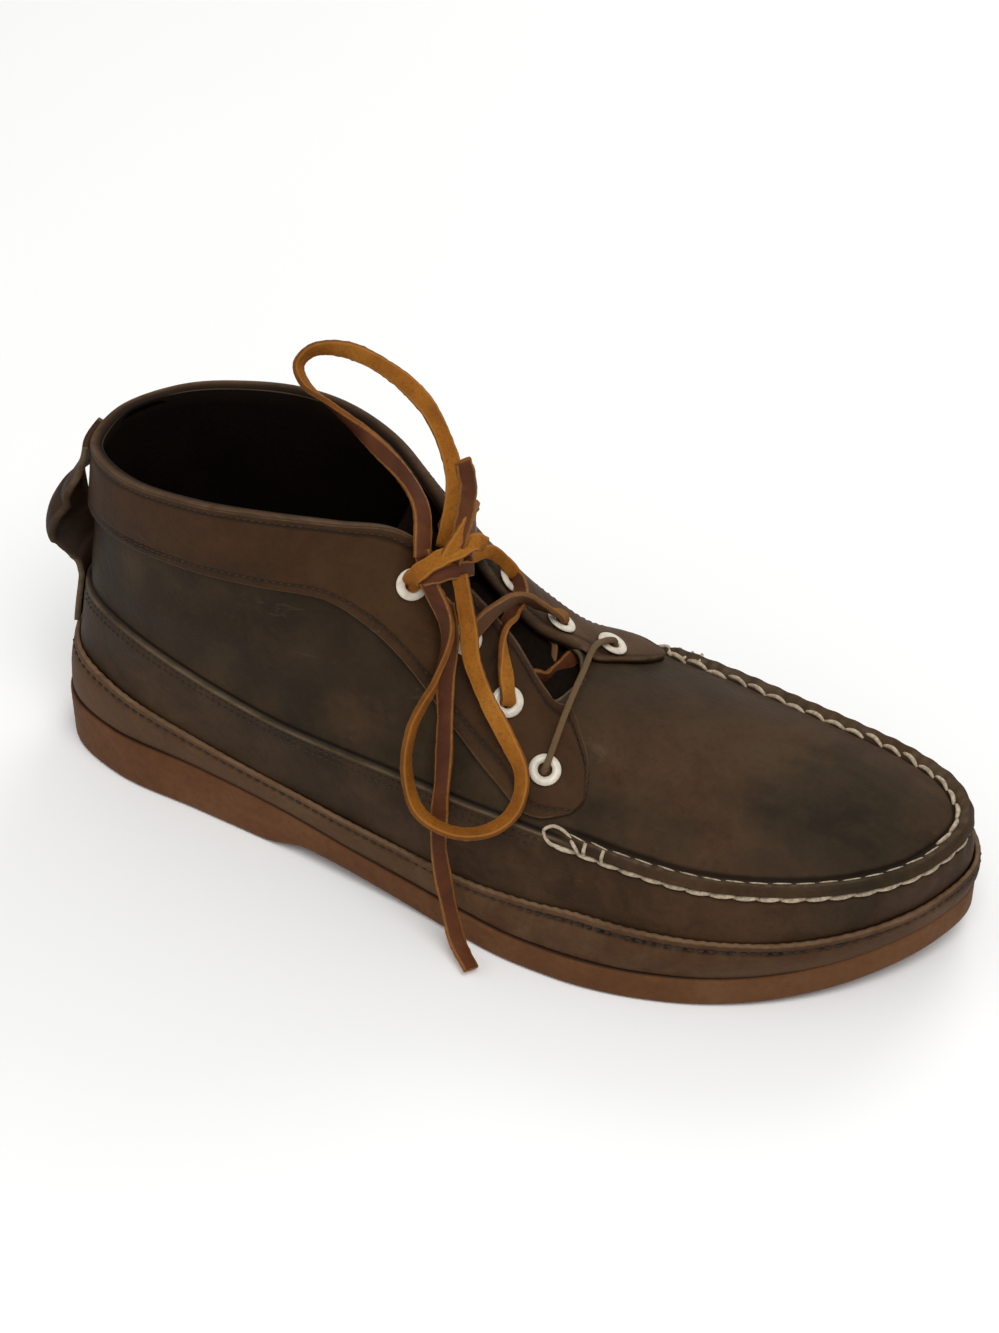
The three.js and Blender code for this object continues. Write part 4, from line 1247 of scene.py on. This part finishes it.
def add_eyelet(name, u, w):
    centre, side, over, normal = seat_frame(np.array(u), np.array(w))
    depth = FACING + FACING_LIFT + SKIN + GAP
    top = FLANGE_LIFT + FLANGE_THICK
    roll = [(EYELET_FLANGE - 1.35 + 1.35 * math.sin(a), FLANGE_LIFT + 0.1 + 0.8 * math.cos(a))
            for a in np.linspace(math.pi / 2, -math.pi / 2, 9)]
    profile = [(EYELET_HOLE + 0.15, -depth), (EYELET_BARREL, -depth),
               (EYELET_BARREL, FLANGE_LIFT - 0.1), (EYELET_FLANGE - 0.3, FLANGE_LIFT - 0.1)]
    profile += roll + [(EYELET_HOLE + 0.25, top - 0.35), (EYELET_HOLE, FLANGE_LIFT)]
    ring = circle(side, over, LATHE_STEPS)
    sections = np.stack([centre + ring * r + normal * h for r, h in profile], 1)
    piece = ring_tube("boot_" + name, sections)
    dress(piece, EYELET_ENAMEL, "eyelets", name)


for i, (outer_u, outer_w, inner_u, inner_w) in enumerate(EYELETS, 1):
    add_eyelet(f"eyelet_outer_{i}", outer_u, outer_w)
    add_eyelet(f"eyelet_inner_{i}", inner_u, inner_w)

# The lace through the eyelets.


def eyelet_seat(side, number):
    u, w = EYELETS[number - 1][:2] if side == "outer" else EYELETS[number - 1][2:]
    return np.array(u), np.array(w)


# Each strand through the eyelets: its eyelets on the outer and the inner side, the height that
# it keeps over the facings, its middle's rise, its share of the full width, how far it has
# aged to a dull olive, and its turns.
STRANDS = [
    # outer, inner, height, rise, width, aged, turns
    [4, 4, 1.2, 1.0, 0.50, 0.85, [(0, 20), (0.12, 85), (0.88, 88), (1, 20)]],
    [3, 4, -2.6, -4.0, 0.95, 0.0, [(0, 190), (0.5, 200), (1, 180)]],
    [4, 3, -2.6, -5.5, 0.60, 0.6, [(0, 90), (0.5, 75), (1, 90)]],
    [3, 2, 1.4, 0.0, 0.95, 0.0, [(0, 20), (0.25, 40), (0.6, 150), (1, 180)]],
    [2, 3, 2.2, 5.0, 0.95, 0.30, [(0, 190), (0.3, 225), (0.7, 240), (1, 330)]],
    [2, 1, -2.4, -3.0, 0.95, 0.0, [(0, 180), (1, 180)]],
    [1, 2, 1.2, 0.5, 0.85, 0.0, [(0, 20), (0.6, 10), (1, -20)]],
]


def strand_route(outer_eyelet, inner_eyelet, height, rise):
    """Out of one eyelet, over or under both throat edges and into the other."""
    (ou, ow), (iu, iw) = eyelet_seat("outer", outer_eyelet), eyelet_seat("inner", inner_eyelet)
    seat = FACING_LIFT + FACING + FLANGE_LIFT + FLANGE_THICK
    rim = seat + 0.5 if height > 0 else -SKIN - 1.6
    near = lifted(ou + (RING - iu - ou) * 0.3, ow + (2 - ow) * 0.75, rim + height * (height > 0))
    far = lifted(iu + (RING - ou - iu) * 0.3, iw + (2 - iw) * 0.75, rim + height * (height > 0))
    middle = (near + far) / 2 + [0, 0, rise]
    bore = -1.0 if height > 0 else seat - 0.8
    return np.array([lifted(ou, ow, bore), lifted(ou, ow, rim - 0.4), near, middle, far,
                     lifted(iu, iw, rim - 0.4), lifted(iu, iw, bore)])


def join_strips(name, strips, node):
    """One piece from strips, each a route, its turns, its width, its thickness and its age."""
    tubes, flesh, edge, aged = [], [], [], []
    for route, turns, width, thick, age in strips:
        steps = max(24, int(curve_length(np.array(route)) / 0.9))
        _, tube, side, rim = ribbon_sections(route, turns, width, thick, steps, 0.02)
        tubes.append(tube)
        flesh.append(side.ravel())
        edge.append(rim.ravel())
        aged.append(np.full(rim.size, age))
    piece = join_tubes(name, tubes)
    mark(piece, flesh=np.concatenate(flesh), edge=np.concatenate(edge), aged=np.concatenate(aged))
    dress(piece, LACE, "lace", node)


def add_strands():
    strips = [(strand_route(outer, inner, height, rise), turns, LACE_WIDTH * width, LACE_THICK, age)
              for outer, inner, height, rise, width, age, turns in STRANDS]
    join_strips("lace_through_eyelets", strips, "lace_crossings")


add_strands()

# The knot's strips: the bar that comes out of the top outer eyelet, a wrap round the loops'
# feet, the upper loop's foot where it runs down behind the bar, and a short stub of the lace
# that stands up behind them.
KNOT_STRIPS = [
    # route, turns, width, thickness, age
    [[[124.6, -16.9, 100.6], [126.4, -20.9, 105.2], [129.2, -22.8, 110.2], [134.4, -20.4, 114.8],
      [139.2, -17.0, 117.3], [142.6, -13.4, 118.6], [143.6, -9.4, 115.0]],
     [(0, 20), (0.5, -20), (1, 10)], 5.0, 2.2, 0.0],
    [[[130.2, -15.0, 103.5], [129.2, -20.6, 106.8], [133.6, -21.8, 109.8], [138.6, -18.2, 110.6],
      [141.4, -12.6, 108.0]], [(0, 165), (1, 190)], 4.6, 2.2, 0.0],
    [[[129.0, -18.6, 115.6], [130.6, -20.2, 111.0], [132.4, -20.9, 105.8], [134.8, -20.9, 101.0],
      [137.2, -20.4, 97.2]], [(0, 200), (1, 170)], 4.8, 1.9, 0.0],
    [[[135.6, -19.0, 112.6], [137.0, -18.6, 117.0], [139.6, -16.4, 122.6], [142.2, -14.8, 130.6]],
     [(0, 40), (0.5, 25), (1, 50)], 3.8, 2.2, 0.0],
]


def inner_foot():
    """The lace from the top inner eyelet over the facing's edge into the knot."""
    u, w = eyelet_seat("inner", 1)
    seat = FACING_LIFT + FACING + FLANGE_LIFT + FLANGE_THICK
    bore, over = lifted(u, w, seat - 1.2), lifted(u, w, seat + 2.0)
    knot = np.array([139.4, -12.4, 110.6])
    return np.array([bore, over, (over + knot) / 2 + [0, 0, 1.5], knot])


KNOT_STRIPS.append([inner_foot(), [(0, 20), (0.5, 150), (1, 180)], 4.4, LACE_THICK, 0.0])
join_strips("lace_knot_wrap", KNOT_STRIPS, "lace_knot")

# Stitches.


def stitch_points(start, end, normal, thick, arch, sides=7, steps=7):
    """One stitch as a closed little sausage that dives into the leather at both ends."""
    t = np.linspace(0, 1, steps)
    centre = start + (end - start) * t[:, None] + normal * (arch * np.sin(np.pi * t))[:, None]
    centre = centre - normal * 0.35 * thick * (1 - np.sin(np.pi * t))[:, None]
    radius = thick / 2 * (0.55 + 0.45 * np.sin(np.pi * t) ** 0.5)
    along = unit(end - start)
    across = unit(np.cross(along, normal))
    over = np.cross(across, along)
    return centre[:, None] + circle(across, over, sides) * radius[:, None, None]


def add_stitches(name, stitches, material, slot, thick, arch):
    """Joins many stitches, each a start, an end and a normal, into one piece."""
    piece = join_tubes(name, [stitch_points(*stitch, thick, arch) for stitch in stitches])
    dress(piece, material, slot)


def surface_at(u, w):
    """Points and normals of the upper's outside."""
    u, w = np.asarray(u, float), np.asarray(w, float)
    relief = upper_relief(u, w, skin_point(u, w))
    return lifted(u, w, relief), skin_normal(u, w)


def seam_stitch(run, lead, low, high, proud):
    """One stitch along the seam, slanting from one distance off it to another."""
    u = np.array([u_at(run - lead), u_at(run + lead)])
    points, normals = surface_at(u, np.array([seam_w(u[:1], low)[0], seam_w(u[1:], high)[0]]))
    return points[0] + normals[0] * proud, points[1] + normals[1] * proud, unit(normals.sum(0))


def moccasin_stitches():
    """The ridge's stitches: thick on its outer foot and on the far side, fine on the near side."""
    first, last = run_at(PLUG_START - 0.45), run_at(RING - PLUG_START + 0.45)
    count = int((last - first) / STITCH)
    runs = first + (np.arange(count) + 0.5) * (last - first) / count
    slack = random.normal(0, 0.12, (count, 2))
    outer = [seam_stitch(run, STITCH * 0.55, -2.65 + a, -2.15 + b, 0.32)
             for run, (a, b) in zip(runs, slack)]
    near = [seam_stitch(run + STITCH / 2, STITCH * 0.40, 1.75 + a, 1.55 + b, 0.02)
            for run, (a, b) in zip(runs[:-1], slack) if u_at(run) < TOE - 0.6]
    far = [seam_stitch(run + STITCH / 2, STITCH * 0.50, 2.0 + a, 1.7 + b, 0.30)
           for run, (a, b) in zip(runs[:-1], slack) if u_at(run) >= TOE - 0.6]
    return outer, near, far


outer_stitches, near_stitches, far_stitches = moccasin_stitches()
add_stitches("moccasin_seam_thread", outer_stitches, SEAM_THREAD, "lace", 1.70, 0.32)
add_stitches("moccasin_near_thread", near_stitches, SEAM_THREAD, "lace", 0.62, 0.05)
add_stitches("moccasin_far_thread", far_stitches, SEAM_THREAD, "lace", 1.45, 0.28)

# Threads that cross the ridge where the seam starts and ends, as millimetres along the seam
# from its end and millimetres off it, point by point.
CROSS_THREADS = [
    # outer side's end, then the inner side's
    [0, [(3.0, -2.3), (-1.6, -1.9), (-3.6, 0.6), (-0.8, 2.6), (3.0, 1.9), (6.6, -0.6),
         (7.6, -2.5)]],
    [0, [(9.0, -2.5), (9.4, -0.6), (9.6, 1.2)]],
    [0, [(14.5, -2.5), (14.9, -0.6), (15.2, 1.2)]],
    [1, [(1.2, 2.0), (-2.0, 0.2), (-4.6, 2.0), (-5.2, -1.0), (-8.0, 1.9), (-9.6, -0.6)]],
    [1, [(-13.5, 1.9), (-12.4, -0.4), (-12.0, -2.0)]],
    [1, [(1.0, 2.0), (4.2, 1.2), (7.2, 2.2)]],
]


def cord_tube(line, radius, sides=8):
    """Round section points along a line."""
    along = unit(np.gradient(line, axis=0))
    across = unit(np.cross(along, [0.0, 0.0, 1.0]))
    return line[:, None] + circle(across, np.cross(across, along), sides) * radius


def add_cross_threads():
    ends = run_at(PLUG_START - 0.45), run_at(RING - PLUG_START + 0.45)
    tubes = []
    for end, marks in CROSS_THREADS:
        u = np.array([float(u_at(ends[end] + along)) for along, _ in marks])
        w = np.array([float(seam_w(np.array([a]), off)[0]) for a, (_, off) in zip(u, marks)])
        base, normals = surface_at(u, w)
        tubes.append(cord_tube(even_line(base + normals * 0.50, 10 * len(marks)), 0.55))
    dress(join_tubes("moccasin_end_threads", tubes), SEAM_THREAD, "lace")


add_cross_threads()


def row_stitches(points, normals, pitch, fill=0.68):
    """Even stitches along a line of close points."""
    lengths = np.r_[0, np.cumsum(np.linalg.norm(np.diff(points, axis=0), axis=1))]
    count = int(lengths[-1] / pitch)
    stitches = []
    for k in range(count):
        at = [k * pitch + pitch * (0.5 - fill / 2), k * pitch + pitch * (0.5 + fill / 2)]
        ends = [np.array([np.interp(d, lengths, points[:, i]) for i in range(3)]) for d in at]
        middle = (at[0] + at[1]) / 2
        normal = np.array([np.interp(middle, lengths, normals[:, i]) for i in range(3)])
        stitches.append((ends[0], ends[1], unit(normal)))
    return stitches


def band_stitches():
    rows = []
    for t in BAND_ROWS:
        u, w, _ = band_point(band_edges, [t], 0.0)
        points = lifted(u[:, 0], w[:, 0], FACING_LIFT + FACING - 0.28)
        inside = slice(6, -6)
        rows += row_stitches(points[inside], skin_normal(u[:, 0], w[:, 0])[inside], 2.3)
    return rows


def counter_stitches():
    rows = []
    for away in (-2.4, -4.6):
        for low, high in ((0.9, 9.2), (RING - 9.2, RING - 0.9)):
            u = np.linspace(low, high, 260)
            points, normals = surface_at(u, seam_w(u, away))
            rows += row_stitches(points + normals * 0.02, normals, 2.2)
    return rows


def rand_stitches():
    u = np.linspace(0.6, RING - 0.6, 900)
    w = rand_top(u) * 0.83
    points = lifted(u, w, WALL_STEP + GAP + RAND * 0.62)
    return row_stitches(points, skin_normal(u, w), 3.0, 0.72)


add_stitches("band_thread", band_stitches(), FINE_THREAD, "collar_facing", 0.62, 0.1)
add_stitches("counter_thread", counter_stitches(), FINE_THREAD, "upper", 0.60, 0.1)
add_stitches("rand_thread", rand_stitches(), FINE_THREAD, "rand", 0.9, 0.15)

# Floor and light.


FLOOR = 6.0
WORLD_STRENGTH = 0.56
# Each lamp's place and aim in metres, its diameter in metres and its power in watts.
LAMPS = {
    "key": [(0.5, -0.5, 1.3), (0.1, 0, 0.05), 0.9, 10],
    "fill": [(-0.9, -0.7, 0.7), (0.1, 0, 0.05), 1.2, 2.2],
    "back": [(0.2, 1.1, 0.9), (0.1, 0, 0.08), 0.8, 4.5],
}


def add_floor():
    mesh = bpy.data.meshes.new("floor")
    corners = [(-FLOOR, -FLOOR, 0), (FLOOR, -FLOOR, 0), (FLOOR, FLOOR, 0), (-FLOOR, FLOOR, 0)]
    mesh.from_pydata(corners, [], [(0, 1, 2, 3)])
    floor = bpy.data.objects.new("floor", mesh)
    mesh.materials.append(floor_paper("floor_paper"))
    bpy.context.scene.collection.objects.link(floor)


def add_light(name, place, aim, size, power):
    data = bpy.data.lights.new(name, "AREA")
    data.shape = "DISK"
    data.size = size
    data.energy = power
    lamp = bpy.data.objects.new(name, data)
    lamp.location = place
    lamp.rotation_mode = "QUATERNION"
    lamp.rotation_quaternion = (Vector(aim) - Vector(place)).to_track_quat("-Z", "Y")
    bpy.context.scene.collection.objects.link(lamp)


def add_world():
    world = bpy.data.worlds.new("studio")
    world.use_nodes = True
    background = world.node_tree.nodes["Background"]
    background.inputs["Color"].default_value = (1.0, 1.0, 1.0, 1)
    background.inputs["Strength"].default_value = WORLD_STRENGTH
    bpy.context.scene.world = world


add_floor()
for lamp_name, lamp_row in LAMPS.items():
    add_light(lamp_name, *lamp_row)
add_world()
bpy.context.scene.view_settings.view_transform = "Standard"
